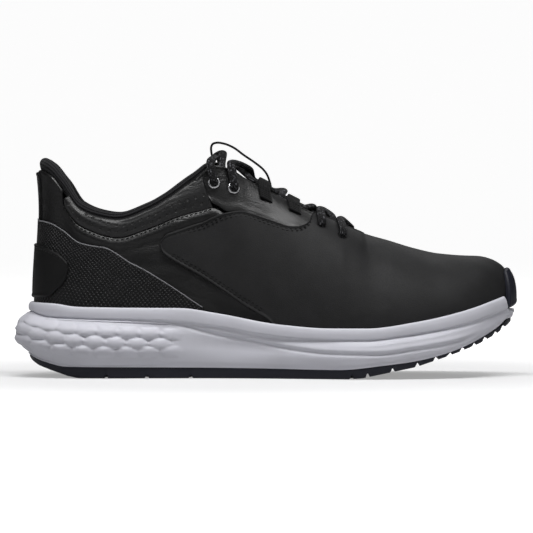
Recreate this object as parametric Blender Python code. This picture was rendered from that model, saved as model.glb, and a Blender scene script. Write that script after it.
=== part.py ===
# Spikeless golf shoe, right foot, modelled as separate solids.
# Frame: +X to the toe, +Y to the medial side, +Z up, origin on the ground under the middle of the box.
# Lengths below are millimetres; the meshes are written in metres.

import math

import bmesh
import bpy
import numpy as np
from mathutils import Matrix, Vector

MM = 0.001
WELD = 0.00002

# Plan of the feather line, where the upper meets the sole.
HEEL_X = -137.0
TOE_X = 146.5
TOE_Y = 6.0
LATERAL_PLAN = [(-137, 0), (-130, 20), (-115, 31), (-90, 36), (-60, 36), (-30, 37), (0, 41),
                (30, 46), (55, 48.5), (80, 47), (105, 40.5), (125, 29), (138, 15), (146.5, -TOE_Y)]
MEDIAL_PLAN = [(-137, 0), (-130, 20), (-115, 30), (-90, 34), (-60, 33), (-30, 32), (0, 36),
               (30, 42), (55, 45.5), (80, 46), (105, 43), (125, 35), (138, 24), (146.5, TOE_Y)]

# Side profile heights along the sole.
RIM = [(-141, 44.5), (-126, 44), (-112, 42.3), (-80, 41.8), (-50, 41.6), (-29, 38.7), (9, 32),
       (39, 29.9), (60, 29.9), (91, 33.9), (117, 39.5), (147, 49)]
GROOVE = [(-141, 39), (-129, 36.1), (-101, 35.1), (-65, 33.9), (-29, 30.3), (9, 24.6), (39, 22.8),
          (60, 22.8), (80, 24.9), (101, 28.1), (122, 32.7), (147, 41)]
SOLE_EDGE = [(-141, 13.5), (-132, 10), (-117, 7), (-91, 6.9), (-4, 6.3), (42, 5.7), (73, 8.7),
             (91, 11.3), (112, 16.8), (127, 22.8), (141, 29.9), (147, 34.8)]
GROUND = [(-142, 12.9), (-139, 9.6), (-134.6, 7), (-127, 4.4), (-122, 2.9), (-117, 1.2), (-111, 0),
          (50, 0), (57.6, 0.6), (88.6, 7), (101, 10.9), (114.6, 15.5), (127, 20.1), (138, 25.5),
          (145.8, 31), (149, 34)]
BELLY_OUT = [(-137, 14), (-115, 12), (-90, 9.5), (-60, 6), (-30, 3.8), (0, 3.5), (30, 5), (60, 6.5),
             (90, 6.5), (115, 5), (135, 3.5), (146.5, 2.5)]
EDGE_OUT = [(-137, 4.6), (-115, 5), (-90, 4.5), (-60, 2.5), (-30, 1), (0, 1), (30, 2.5), (60, 5),
            (90, 5.2), (115, 4), (135, 1.8), (146.5, 1.6)]
CUP_DEPTH = 6.0
CUP_CLEARANCE = 2.2
RIM_OUT = 4.6

# Top line of the upper: feather station x, then x, half width and height of the top edge.
THROAT_STATION = 61.0
TOP_LINE = [(-137, -136.4, 0, 124.7), (-133, -134, 9, 124.2), (-128, -129, 16, 121.6), (-118, -121, 21.5, 113.7),
            (-106, -111, 26.5, 100.9), (-92, -99, 30, 96), (-80, -88, 31, 94.4), (-60, -70, 30.5, 100.3),
            (-46, -58, 30, 107), (-30, -43.3, 27, 117.3), (-16, -29.4, 24, 126.4), (-9, -21, 21.5, 124.3),
            (-3, -12, 19.5, 118.5), (10, 3, 17, 110.5), (24, 18, 15.5, 102.8), (36, 31, 14, 96.2),
            (46, 42, 12.2, 91), (54, 51, 9, 87), (58.5, 56.2, 5, 84.9), (61, 59, 0, 83.6),
            (75, 73.5, 0, 79.4), (90, 88.6, 0, 74.8), (105, 103.8, 0, 71.5), (120, 119.4, 0, 70.2),
            (129, 128, 0, 69.9), (137, 135.5, 0, 68.1), (143, 141.2, 0, 64.7), (146.5, 143.6, 0, 61.6)]
RIDGE_Y = [(-137, 0), (61, 0), (90, 2), (120, 4), (146.5, 5)]
# How far the upper handle of each cross section reaches outwards and downwards, and how it is pinched in.
HANDLE = [(-137, 0.1, 0.38, 4.5), (-118, 0.1, 0.36, 2), (-80, 0.1, 0.3, 0), (-30, 0.2, 0.28, 0),
          (-3, 0.45, 0.14, 0), (30, 0.52, 0.08, 0), (61, 0.6, 0.03, 0), (146.5, 0.62, 0.01, 0)]
LOWER_RISE = 0.46
FOREFOOT_SWELL = [(-137, 0), (-60, 0), (20, 1.0), (90, 1.6), (146.5, 0.6)]


def spline(rows):
    # Smooth curve through rows of (parameter, values...), evaluated on arrays. It never overshoots its rows.
    table = np.array(rows, dtype=float)
    knots = table[:, 0]
    values = table[:, 1:]
    secants = np.diff(values, axis=0) / np.diff(knots)[:, None]
    before = secants[:-1]
    after = secants[1:]
    turning = before * after <= 0
    total = np.where(turning, 1, before + after)
    inner = np.where(turning, 0, 2 * before * after / total)
    slopes = np.vstack([secants[:1], inner, secants[-1:]])

    def at(q):
        q = np.clip(np.atleast_1d(np.asarray(q, dtype=float)), knots[0], knots[-1])
        i = np.clip(np.searchsorted(knots, q, side="right") - 1, 0, len(knots) - 2)
        span = knots[i + 1] - knots[i]
        k = ((q - knots[i]) / span)[:, None]
        span = span[:, None]
        rise = values[i + 1] - values[i]
        cubic = slopes[i] * span + slopes[i + 1] * span - 2 * rise
        square = 3 * rise - 2 * slopes[i] * span - slopes[i + 1] * span
        result = values[i] + k * (slopes[i] * span + k * (square + k * cubic))
        return result[:, 0] if result.shape[1] == 1 else result

    return at


def station(x):
    # Share of the way from the heel centre to the toe centre; a cosine rounds both ends.
    share = np.clip((np.asarray(x, dtype=float) - HEEL_X) / (TOE_X - HEEL_X), 0, 1)
    return np.arccos(1 - 2 * share) / math.pi


def by_station(rows):
    return spline([(float(station(row[0])),) + tuple(row[1:]) for row in rows])


lateral_plan = by_station(LATERAL_PLAN)
medial_plan = by_station(MEDIAL_PLAN)
rim_height = by_station(RIM)
rim_at = spline(RIM)
groove_at = spline(GROOVE)
sole_edge_at = spline(SOLE_EDGE)
belly_out = by_station(BELLY_OUT)
edge_out = by_station(EDGE_OUT)
top_line = by_station(TOP_LINE)
ridge_y = by_station(RIDGE_Y)
handle = by_station(HANDLE)
swell = by_station(FOREFOOT_SWELL)
THROAT_END = float(station(THROAT_STATION))


def ground(x):
    table = np.array(GROUND, dtype=float)
    return np.interp(x, table[:, 0], table[:, 1])


def fold(s):
    # s runs round the shoe: 0 heel centre, up to 1 along the lateral side, 1 to 2 back along the medial side.
    s = np.mod(np.asarray(s, dtype=float) + 1, 2) - 1
    return np.abs(s), np.where(s >= 0, -1.0, 1.0)


def feather(s):
    a, side = fold(s)
    x = HEEL_X + (TOE_X - HEEL_X) * (1 - np.cos(math.pi * a)) / 2
    y = np.where(side < 0, -lateral_plan(a), medial_plan(a))
    return np.stack([x, y, rim_height(a) - CUP_DEPTH], axis=-1)


def outward(s):
    # Unit normal of the feather line in plan.
    step = 0.004
    run = feather(np.asarray(s) + step) - feather(np.asarray(s) - step)
    normal = np.stack([run[:, 1], -run[:, 0], np.zeros(len(run))], axis=-1)
    return -normal * -1 / np.linalg.norm(normal, axis=1)[:, None]


def base_surface(s, t):
    # Outer surface of the upper: one cubic from the feather line to the top line at each station.
    a, side = fold(s)
    low = feather(s)
    top = top_line(a)
    half = np.where(a >= THROAT_END - 1e-6, 0, np.maximum(top[:, 1], 0))
    high = np.stack([top[:, 0], ridge_y(a) + side * half, top[:, 2]], axis=-1)
    out = outward(s)
    reach = handle(a)
    height = (high[:, 2] - low[:, 2])[:, None]
    up = np.array([0.0, 0.0, 1.0])
    spread = low - high
    spread[:, 2] = 0
    first = low + up * height * LOWER_RISE + out * swell(a)[:, None] * 2
    second = high + spread * reach[:, 0:1] - up * height * reach[:, 1:2] - out * reach[:, 2:3]
    t = np.asarray(t, dtype=float)[:, None]
    r = 1 - t
    return r ** 3 * low + 3 * r * r * t * first + 3 * r * t * t * second + t ** 3 * high


def surface_normal(s, t):
    step = 0.004
    s = np.asarray(s, dtype=float)
    t = np.asarray(t, dtype=float)
    lower = np.clip(t - step, 0, 1)
    upper = np.clip(t + step, 0, 1)
    along = base_surface(s + step, t) - base_surface(s - step, t)
    across = base_surface(s, upper) - base_surface(s, lower)
    normal = np.cross(along, across)
    a, _ = fold(s)
    on_ridge = (t > 0.999) & (a >= THROAT_END - 1e-4)
    inner = np.clip(a, 0, 0.985)
    slope = top_line(np.clip(inner + step, 0, 1)) - top_line(inner - step)
    ridge = np.stack([-slope[:, 2], np.zeros(len(a)), slope[:, 0]], axis=-1)
    normal = np.where(on_ridge[:, None], ridge, normal)
    return normal / np.linalg.norm(normal, axis=1)[:, None]


def skin(s, t, depth):
    # Point at a signed distance from the base surface, positive outside.
    t = np.clip(t, 0, 1)
    return base_surface(s, t) + surface_normal(s, t) * np.asarray(depth, dtype=float)[:, None]


SEARCH_S, SEARCH_T = np.meshgrid(np.linspace(0, 1, 1200), np.linspace(0, 1, 400), indexing="ij")
SEARCH_S = SEARCH_S.ravel()
SEARCH_T = SEARCH_T.ravel()
SEARCH_XZ = base_surface(SEARCH_S, SEARCH_T)[:, [0, 2]]


def locate(x, z):
    # Surface coordinates of the lateral point that a side view shows at x, z.
    best = int(np.argmin(((SEARCH_XZ - (x, z)) ** 2).sum(axis=1)))
    return SEARCH_S[best], SEARCH_T[best]


def trace(points):
    # Smooth path through surface coordinates, driven from 0 to 1 by its length in the side view.
    points = np.array(points, dtype=float)
    seen = base_surface(points[:, 0], points[:, 1])
    length = np.concatenate([[0], np.cumsum(np.linalg.norm(np.diff(seen, axis=0), axis=1))])
    return spline(np.column_stack([length / length[-1], points]))


def side_trace(pairs):
    return trace([locate(x, z) for x, z in pairs])


def material(name, color, roughness, metallic=0.0):
    look = bpy.data.materials.new(name)
    look.use_nodes = True
    shader = look.node_tree.nodes["Principled BSDF"]
    shader.inputs["Base Color"].default_value = (*color, 1)
    shader.inputs["Roughness"].default_value = roughness
    shader.inputs["Metallic"].default_value = metallic
    look.diffuse_color = (*color, 1)
    return look


def flat_grid(columns, rows, thick=True):
    # Unit grid, u and v from 0 to 1; the thick one has its outer layer at w = 0 and its inner one at w = 1.
    bm = bmesh.new()
    bmesh.ops.create_grid(bm, x_segments=columns, y_segments=rows, size=0.5)
    bmesh.ops.translate(bm, vec=(0.5, 0.5, 0), verts=bm.verts)
    if thick:
        grown = bmesh.ops.extrude_face_region(bm, geom=bm.faces[:], use_keep_orig=True)
        inner = [item for item in grown["geom"] if isinstance(item, bmesh.types.BMVert)]
        bmesh.ops.translate(bm, vec=(0, 0, 1), verts=inner)
    return bm


def open_walls(bm, is_open):
    walls = [face for face in bm.faces if is_open(face.calc_center_median())]
    bmesh.ops.delete(bm, geom=walls, context="FACES")


def wrap(bm, place):
    flat = np.array([vert.co[:] for vert in bm.verts])
    points = place(flat[:, 0], flat[:, 1], flat[:, 2]) * MM
    for vert, point in zip(bm.verts, points):
        vert.co = point


def solid(name, bm, look, sharp=35):
    bmesh.ops.remove_doubles(bm, verts=bm.verts[:], dist=WELD)
    bmesh.ops.dissolve_degenerate(bm, edges=bm.edges[:], dist=WELD)
    bmesh.ops.recalc_face_normals(bm, faces=bm.faces[:])
    if bm.calc_volume(signed=True) < 0:
        bmesh.ops.reverse_faces(bm, faces=bm.faces[:])
    mesh = bpy.data.meshes.new(name)
    bm.to_mesh(mesh)
    bm.free()
    mesh.materials.append(look)
    mesh.shade_smooth()
    mesh.set_sharp_from_angle(angle=math.radians(sharp))
    piece = bpy.data.objects.new(name, mesh)
    bpy.context.scene.collection.objects.link(piece)
    return piece


def mirrored(s, side):
    return s if side == "lateral" else 2 - s


def panel(name, look, lower, upper, columns, rows, outer, inner, side="lateral"):
    # Panel between two traced edges of the upper, with its two faces at signed depths.
    bm = flat_grid(columns, rows)

    def place(u, v, w):
        low = lower(u)
        high = upper(u)
        s = low[:, 0] * (1 - v) + high[:, 0] * v
        t = low[:, 1] * (1 - v) + high[:, 1] * v
        return skin(mirrored(s, side), t, outer + (inner - outer) * w)

    wrap(bm, place)
    return solid(name, bm, look)


def round_panel(name, look, lower, upper, columns, rows, outer, inner, centre):
    # Panel that runs round the heel (centre 0) or the toe (centre 1), the same on both sides.
    bm = flat_grid(2 * columns, rows)
    if centre == 1:
        # Past the end of the throat the two sides meet on the ridge, so the walls there are left out.
        half_column = 0.5 / columns
        edge = upper(np.linspace(0, 1, columns + 1))
        on_ridge = (edge[:, 0] >= THROAT_END) & (edge[:, 1] > 0.9999)
        zip_from = np.argmax(on_ridge) / columns - 1e-6

        def meets(point):
            return point.y > 0.9999 and 1 - abs(2 * point.x - 1) - half_column > zip_from

        open_walls(bm, meets)

    def place(u, v, w):
        share = np.abs(2 * u - 1)
        q = 1 - share if centre == 1 else share
        low = lower(q)
        high = upper(q)
        s = low[:, 0] * (1 - v) + high[:, 0] * v
        t = low[:, 1] * (1 - v) + high[:, 1] * v
        s = np.where(u > 0.5, 2 * centre - s, s)
        outer_depth = outer(s, t) if callable(outer) else outer
        inner_depth = inner(s, t) if callable(inner) else inner
        return skin(s, t, outer_depth + (inner_depth - outer_depth) * w)

    wrap(bm, place)
    return solid(name, bm, look)


# Outer layers of the upper, as depths from the base surface.
BASE_OUTER = 0.0
BASE_INNER = -1.2
OVERLAY_OUTER = 1.8
OVERLAY_INNER = 0.8
PATCH_OUTER = 2.9
PATCH_INNER = 2.2
FACING_INNER = -2.4
LINING_OUTER = -3.4
LINING_INNER = -4.3
STIFFENER_OUTER = -2.0
STIFFENER_INNER = -2.8
COLLAR_PAD = 4.2
EDGE_T = 0.995


def top_at(x):
    # Surface coordinates of the top line at a top x.
    stations = np.linspace(0, 1, 2000)
    s = float(stations[np.argmin(np.abs(top_line(stations)[:, 0] - x))])
    return s, 1.0


WING_UPPER = [(-57.8, 85.6), (-46, 89.6), (-34.8, 93.3), (-22.4, 98.0), (-15, 98.9), (-5, 96.2), (11.5, 90.3),
              (19.2, 89.5), (25.5, 91.8)]
WING_LOWER = [(-61.5, 75), (-57.5, 71), (-34.8, 57.9), (-14.7, 44.1), (1, 34.5)]
COLLAR_LOWER = [(-119.6, 106.5), (-118, 101.5), (-104.6, 88.8), (-88.8, 84.2), (-72.2, 88.4), (-58, 94.2), (-43.4, 99.1),
                (-33.6, 102.2)]
QUARTER_UPPER = [(-120.4, 104.5), (-118.6, 100.6), (-104.8, 87.8), (-88.8, 83.2), (-72.2, 87.4), (-58, 93.2),
                 (-43.2, 98.1), (-32.2, 101.2), (-20, 96.2), (0, 91.2), (14, 86.4), (23, 83.2)]
FACING_LOWER = [(-31.6, 103.2), (-20, 97.4), (0, 92.4), (14, 87.6), (23, 84.6)]
WRAP_UPPER = [(-132.5, 92.8), (-123, 89.3), (-96.6, 77.3), (-77.7, 67), (-60.6, 57.3), (-43.8, 46.5), (-37, 42)]
PATCH_UPPER = [(-134.5, 78.6), (-129.6, 77), (-121, 72.6), (-116.6, 68)]
PATCH_LOWER = [(-134.5, 47), (-127.2, 47.5), (-123.4, 51), (-118.2, 56.5), (-115.9, 63)]


def build_upper_panels(looks):
    tip = locate(-62.5, 79.8)
    throat = [top_at(x) for x in (30, 38, 46, 53, 57.5)]
    ridge = [(THROAT_END, 1.0)] + [top_at(x) for x in (73, 88, 104, 119, 130, 138)] + [(1.0, 1.0)]
    upper = trace([tip] + [locate(x, z) for x, z in WING_UPPER] + throat + ridge)
    feather_run = [(float(station(x)), 0.0) for x in (12, 35, 60, 85, 105, 120, 133, 142)] + [(1.0, 0.0)]
    lower = trace([tip] + [locate(x, z) for x, z in WING_LOWER] + feather_run)
    round_panel("vamp", looks["vamp"], lower, upper, 27, 6, OVERLAY_OUTER, OVERLAY_INNER, 1)

    heel_top = [(0.004, 0.985), (0.06, 0.985), (0.12, 0.985), (0.165, 0.965)]
    quarter_upper = trace(heel_top + [locate(x, z) for x, z in QUARTER_UPPER])
    sole_run = trace([(0.004, 0.0)] + [(float(station(x)), 0.0) for x in (-130, -110, -80, -50, -20, 8, 26)])
    collar_upper = trace([(0.19, EDGE_T), (0.23, EDGE_T), (0.3, EDGE_T), (0.36, EDGE_T), (0.4, EDGE_T), (0.422, EDGE_T)])
    collar_lower = side_trace(COLLAR_LOWER)
    seam_top = float(top_at(-42.6)[0])
    facing_upper = trace([(seam_top, 1.0)] + [top_at(x) for x in (-36, -29.4, -21, -12, 3, 14, 23.5)])
    facing_lower = side_trace(FACING_LOWER)
    for side in ("lateral", "medial"):
        panel("quarter_" + side, looks["quarter"], sole_run, quarter_upper, 20, 4, BASE_OUTER, BASE_INNER, side)
        panel("collar_panel_" + side, looks["collar"], collar_lower, collar_upper, 12, 2,
              BASE_OUTER, BASE_INNER, side)
        panel("eyestay_" + side, looks["quarter"], facing_lower, facing_upper, 11, 2,
              BASE_OUTER, FACING_INNER, side)

    wrap_upper = trace([(0.0, locate(-136, 93.9)[1])] + [locate(x, z) for x, z in WRAP_UPPER])
    wrap_lower = trace([(float(station(x)), 0.0) for x in (-137, -134, -125, -105, -80, -55, -38)])
    round_panel("heel_wrap", looks["wrap"], wrap_lower, wrap_upper, 14, 3, OVERLAY_OUTER, OVERLAY_INNER, 0)
    patch_upper = trace([(0.0, locate(-136, 79.3)[1])] + [locate(x, z) for x, z in PATCH_UPPER])
    patch_lower = trace([(0.0, locate(-136, 46.5)[1])] + [locate(x, z) for x, z in PATCH_LOWER])
    round_panel("heel_patch", looks["patch"], patch_lower, patch_upper, 6, 4, PATCH_OUTER, PATCH_INNER, 0)


def build_inner_layers(looks):
    def pad(s, t):
        # Extra thickness of the padded collar, fading out downwards and towards the facings.
        a, _ = fold(s)
        high = np.clip((t - 0.55) / 0.25, 0, 1)
        rear = np.clip((0.43 - a) / 0.05, 0, 1)
        return COLLAR_PAD * high * high * (3 - 2 * high) * rear

    lining_top = trace([(0, 0.92), (0.1, 0.92), (0.2, 0.91), (0.3, 0.91), (0.38, 0.9), (0.42, 0.84), (0.45, 0.68),
                        (0.5, 0.58)])
    lining_low = trace([(0, 0.04), (0.1, 0.04), (0.2, 0.04), (0.3, 0.04), (0.4, 0.04), (0.5, 0.04)])
    round_panel("quarter_lining", looks["lining"], lining_low, lining_top, 16, 4,
                lambda s, t: LINING_OUTER - pad(s, t), lambda s, t: LINING_INNER - pad(s, t), 0)
    foam_top = trace([(0, 0.9), (0.1, 0.9), (0.2, 0.89), (0.3, 0.89), (0.38, 0.87), (0.41, 0.84)])
    foam_low = trace([(0, 0.62), (0.1, 0.62), (0.2, 0.62), (0.3, 0.62), (0.38, 0.64), (0.41, 0.7)])
    round_panel("collar_foam", looks["foam"], foam_low, foam_top, 14, 2,
                STIFFENER_OUTER, lambda s, t: -2.5 - 0.8 * pad(s, t), 0)
    counter_top = trace([(0, 0.56), (0.12, 0.54), (0.2, 0.46), (0.27, 0.28)])
    counter_low = trace([(0, 0.03), (0.12, 0.03), (0.2, 0.03), (0.28, 0.03)])
    round_panel("heel_counter", looks["board"], counter_low, counter_top, 9, 3,
                STIFFENER_OUTER, STIFFENER_INNER, 0)
    strip_top = trace([(0, 0.975), (0.03, 0.975), (0.055, 0.96)])
    strip_low = trace([(0, 0.66), (0.03, 0.66), (0.04, 0.67)])
    round_panel("back_strip", looks["quarter"], strip_low, strip_top, 3, 4, 1.3, 0.5, 0)

    puff_low = trace([(0.8, 0.06), (0.9, 0.06), (1, 0.06)])
    puff_top = trace([(0.8, 1), (0.9, 1), (1, 1)])
    round_panel("toe_puff", looks["board"], puff_low, puff_top, 7, 6, -0.5, -1.3, 1)
    vamp_low = trace([(0.53, 0.04), (0.65, 0.04), (0.75, 0.04), (0.85, 0.04), (0.93, 0.04), (1, 0.04)])
    vamp_top = trace([(0.53, 0.42), (0.58, 0.5), (0.625, 0.6), (0.65, 0.8), (0.672, 1), (0.72, 1), (0.78, 1),
                      (0.85, 1), (0.92, 1), (1, 1)])
    round_panel("vamp_lining", looks["lining"], vamp_low, vamp_top, 15, 6, -2.4, -3.2, 1)


def collar_roll(looks):
    # Padded knit roll along the top line, swept as a closed section.
    bm = flat_grid(32, 7, thick=False)
    last = 0.445
    centre_in = spline([(0, 4.7), (0.4, 4.7), (0.43, 6.6), (last, 6.6)])
    lift = spline([(0, 2.4), (0.12, 1.6), (0.2, 0.5), (last, 0.5)])
    size = spline([(0, 3.4), (0.15, 3.1), (0.2, 2.9), (0.42, 2.9), (last, 2.6)])

    def place(u, v, w):
        a = np.abs(2 * u - 1) * last
        s = np.where(u > 0.5, -a, a)
        edge = np.full(len(u), 0.985)
        normal = surface_normal(s, edge)
        normal[:, 2] = 0
        normal /= np.linalg.norm(normal, axis=1)[:, None]
        centre = base_surface(s, np.ones(len(u))) - normal * centre_in(a)[:, None]
        centre[:, 2] += lift(a)
        angle = 2 * math.pi * v
        up = np.array([0.0, 0.0, 1.0])
        return centre + (normal * np.cos(angle)[:, None] + up * np.sin(angle)[:, None]) * size(a)[:, None]

    wrap(bm, place)
    bmesh.ops.remove_doubles(bm, verts=bm.verts[:], dist=WELD)
    bmesh.ops.holes_fill(bm, edges=bm.edges[:], sides=0)
    return solid("collar_roll", bm, looks["lining"], sharp=60)


# Sole unit.
FLOOR_DROP = 1.2
SHANK_POCKET = 1.6
SHANK_START = -72.0
SHANK_LENGTH = 88.0
SHANK_WIDTH = 16.0
TOE_RIM_DROP = 9.0
OUTSOLE_GAP = 0.8
LUG_GROOVES = [60.5, 75.2, 90, 101, 109.4, 117, 124, 131, 137.5, 142.5]
SIDE_SLITS = [-94, -70, -44, 51]
GROOVE_HALF = 0.7
LUG_DEPTH = 1.8


def centre_of_sole(x):
    a = station(x)
    return np.stack([x, (medial_plan(a) - lateral_plan(a)) / 2], axis=-1)


def build_midsole(looks):
    # One closed skin: each column runs from the middle of the floor, over the rim and back under to the middle.
    bm = flat_grid(64, 13, thick=False)

    def place(u, v, w):
        s = 2 * u
        a, _ = fold(s)
        low = feather(s)
        out = outward(s)
        j = np.rint(v * 13).astype(int)
        middle = centre_of_sole(np.clip(low[:, 0], HEEL_X + 18, TOE_X - 22))
        reach = belly_out(a)
        foot = edge_out(a)
        drop = TOE_RIM_DROP * np.clip((a - 0.875) / 0.035, 0, 1)
        shift = np.choose(j, [0 * a, 0 * a, 0 * a, CUP_CLEARANCE + 0 * a, 2.4 + 0 * a, 3.4 + 0 * a, RIM_OUT + 0 * a,
                              RIM_OUT + 0.3 + 0 * a, 3.5 + 0 * a, 2.6 + 0.5 * reach, reach,
                              foot + 0.55 * (reach - foot), foot, 0 * a])
        point = low + out * shift[:, None]
        x = point[:, 0]
        rim = rim_at(x) - drop
        groove = np.minimum(groove_at(x), rim - 2)
        edge = sole_edge_at(x)
        rise = groove - edge
        floor = np.minimum(low[:, 2] - FLOOR_DROP, rim - 0.4)
        middle_rim = rim_height(station(middle[:, 0])) - CUP_DEPTH - FLOOR_DROP
        in_pocket = (middle[:, 0] > -80) & (middle[:, 0] < 32)
        pocket = middle_rim - SHANK_POCKET * in_pocket
        under = sole_edge_at(middle[:, 0])
        height = np.choose(j, [pocket, pocket, middle_rim, floor, rim - 0.8, rim, rim - 1.6,
                               groove + 0.4 * (rim - groove), groove, groove - 0.2 * rise, edge + 0.45 * rise,
                               edge + 0.15 * rise, edge, under])
        point[:, 2] = height
        share = np.choose(j, [0, 0.3, 0.31] + [1.0] * 10 + [0])[:, None]
        point[:, :2] = middle + (point[:, :2] - middle) * share
        return point

    wrap(bm, place)
    return solid("midsole", bm, looks["midsole"], sharp=50)


def build_outsole(looks):
    # Tread plate as crosswise strips, with grooves between the lugs and slits further back.
    cuts = []
    for centre in LUG_GROOVES + SIDE_SLITS:
        cuts += [(centre - GROOVE_HALF - 0.25, 0), (centre - GROOVE_HALF, LUG_DEPTH),
                 (centre + GROOVE_HALF, LUG_DEPTH), (centre + GROOVE_HALF + 0.25, 0)]
    plain = [-137, -136, -134, -131, -127, -122, -117, -111, -104, -82, -57, -25, 0, 25, 40, 68, 83, 95, 113,
             120.5, 127.5, 134, 145, 146, 146.5]
    columns = sorted(cuts + [(x, 0) for x in plain])
    stations = np.array([float(station(x)) for x, _ in columns])
    depths = np.array([depth for _, depth in columns])
    bm = flat_grid(len(columns) - 1, 3)

    def place(u, v, w):
        i = np.rint(u * (len(columns) - 1)).astype(int)
        a = stations[i]
        reach = (edge_out(a) - 0.6)[:, None]
        left = feather(a) + outward(a) * reach
        right = feather(2 - a) + outward(2 - a) * reach
        point = left * (1 - v[:, None]) + right * v[:, None]
        top = sole_edge_at(point[:, 0]) - OUTSOLE_GAP * (1 + np.clip((point[:, 0] - 110) / 25, 0, 1))
        point[:, 2] = np.where(w < 0.5, top, np.minimum(ground(point[:, 0]) + depths[i], top - 0.6))
        return point

    wrap(bm, place)
    return solid("outsole", bm, looks["rubber"], sharp=20)


def build_toe_guard(looks):
    bm = flat_grid(10, 6)

    def place(u, v, w):
        s = 0.925 + 0.15 * u
        t = 0.04 + 0.86 * v
        outer = 4.6 - 1.4 * v ** 3
        point = skin(s, t, outer + (2.1 - outer) * w)
        return point

    wrap(bm, place)
    return solid("toe_guard", bm, looks["rubber"])


def slab(name, look, inset, bottom, top, columns=32, rows=2):
    # Layer of the foot bed: follows the feather line, drawn in from it.
    bm = flat_grid(columns, rows)

    def place(u, v, w):
        left = feather(u) - outward(u) * inset
        right = feather(2 - u) - outward(2 - u) * inset
        point = left * (1 - v[:, None]) + right * v[:, None]
        point[:, 2] = rim_height(u) - CUP_DEPTH + np.where(w < 0.5, top, bottom)
        return point

    wrap(bm, place)
    return solid(name, bm, look, sharp=50)


def build_shank(looks):
    bm = flat_grid(12, 2)

    def place(u, v, w):
        x = SHANK_START + SHANK_LENGTH * u
        middle = centre_of_sole(x)
        z = rim_height(station(x)) - CUP_DEPTH + np.where(w < 0.5, -1.4, -2.2)
        return np.stack([x, middle[:, 1] + (v - 0.5) * SHANK_WIDTH, z], axis=-1)

    wrap(bm, place)
    return solid("shank", bm, looks["board"])


def build_sole(looks):
    build_midsole(looks)
    build_outsole(looks)
    build_toe_guard(looks)
    build_shank(looks)
    slab("strobel_board", looks["board"], 5.2, -0.8, 0.6)
    slab("insole_foam", looks["foam"], 8.0, 1.0, 4.6)
    slab("insole_top_cloth", looks["lining"], 8.2, 4.9, 5.6)


# Tongue: its middle line in the side view, the half length of its arc, and the radius it is rolled to.
TONGUE_LINE = [(-33.5, 129.6), (-27, 125.9), (-15, 118.6), (0, 108.8), (15, 100.4), (30, 92.4), (45, 85), (58, 78.8),
               (64, 76)]
TONGUE_HALF = [(0, 13), (0.08, 18), (0.4, 21), (0.75, 17), (1, 12)]
TONGUE_RADIUS = 27.0

# Lace holes and loops in the side view, from the toe end up: two punched, two webbing loops, two rimmed eyelets.
ROWS = [(45.4, 83.4), (32.9, 89.5), (17.5, 99), (0, 107.5), (-18.6, 112.5), (-30.4, 115.7)]
PUNCHED = (0, 1)
LOOPED = (2, 3)
RIMMED = (4, 5)
HOLE_RADIUS = 2.3
EYELET_HOLE_RADIUS = 2.9
LACE_RADIUS = 1.4


def tongue_middle(x):
    table = spline(TONGUE_LINE)
    step = 0.5
    slope = (table(x + step) - table(x - step)) / (2 * step)
    length = np.sqrt(1 + slope ** 2)
    return table(x), -slope / length, 1 / length


def tongue_point(x, arc, height):
    # A point over the tongue: along it at x, round it by an arc length, and above it by a height.
    x = np.atleast_1d(np.asarray(x, dtype=float))
    z, normal_x, normal_z = tongue_middle(x)
    angle = arc / TONGUE_RADIUS + 0 * x
    radius = TONGUE_RADIUS + height + 0 * x
    lift = radius * np.cos(angle) - TONGUE_RADIUS
    return np.stack([x + normal_x * lift, radius * np.sin(angle), z + normal_z * lift], axis=-1)


def tongue_layer(name, look, outer, inner, start, end, trim, columns, rows):
    bm = flat_grid(columns, rows)
    half = spline(TONGUE_HALF)
    first = TONGUE_LINE[0][0]
    length = TONGUE_LINE[-1][0] - first

    def place(u, v, w):
        share = start + (end - start) * u
        arc = (2 * v - 1) * (half(share) - trim)
        return tongue_point(first + length * share, arc, outer + (inner - outer) * w)

    wrap(bm, place)
    return solid(name, bm, look)


def ribbon(name, look, path, width, thickness, columns):
    # Flat tape along a path of frames; each frame is a point, its face direction and its width direction.
    bm = flat_grid(columns, 1)

    def place(u, v, w):
        point, face, across = path(u)
        return point + across * ((v - 0.5) * width)[:, None] + face * ((0.5 - w) * thickness)[:, None]

    wrap(bm, place)
    return solid(name, bm, look)


PULL_LOOP = [(-30.6, 129.6), (-31.9, 132.6), (-32.3, 136.4), (-31.1, 139), (-28.3, 139.6), (-24.6, 139), (-19.2, 136.8),
             (-12.8, 132.2), (-5.8, 127.4), (-1, 123.4), (1.6, 119.5), (3.4, 113.4), (4.2, 108.8)]
PULL_LOOP_WIDTH = 8.0


def build_tongue(looks):
    tongue_layer("tongue_shell", looks["quarter"], 0, -0.9, 0, 1, 0, 10, 5)
    tongue_layer("tongue_foam", looks["foam"], -1.4, -5.6, 0.03, 0.95, 1.5, 9, 5)
    tongue_layer("tongue_lining", looks["lining"], -6.1, -6.9, 0.02, 0.97, 1.0, 10, 5)
    tongue_layer("tongue_strap", looks["webbing"], 1.4, 0.4, 0.11, 0.165, 12.5, 1, 4)
    points = np.array(PULL_LOOP)
    length = np.concatenate([[0], np.cumsum(np.linalg.norm(np.diff(points, axis=0), axis=1))])
    line = spline(np.column_stack([length / length[-1], points]))

    def path(u):
        step = 0.01
        here = line(u)
        run = line(u + step) - line(u - step)
        run /= np.linalg.norm(run, axis=1)[:, None]
        zero = np.zeros(len(u))
        point = np.stack([here[:, 0], zero, here[:, 1]], axis=-1)
        face = np.stack([-run[:, 1], zero, run[:, 0]], axis=-1)
        return point, face, np.array([0.0, 1.0, 0.0])

    ribbon("pull_loop", looks["webbing"], path, PULL_LOOP_WIDTH, 1.0, 22)


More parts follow.
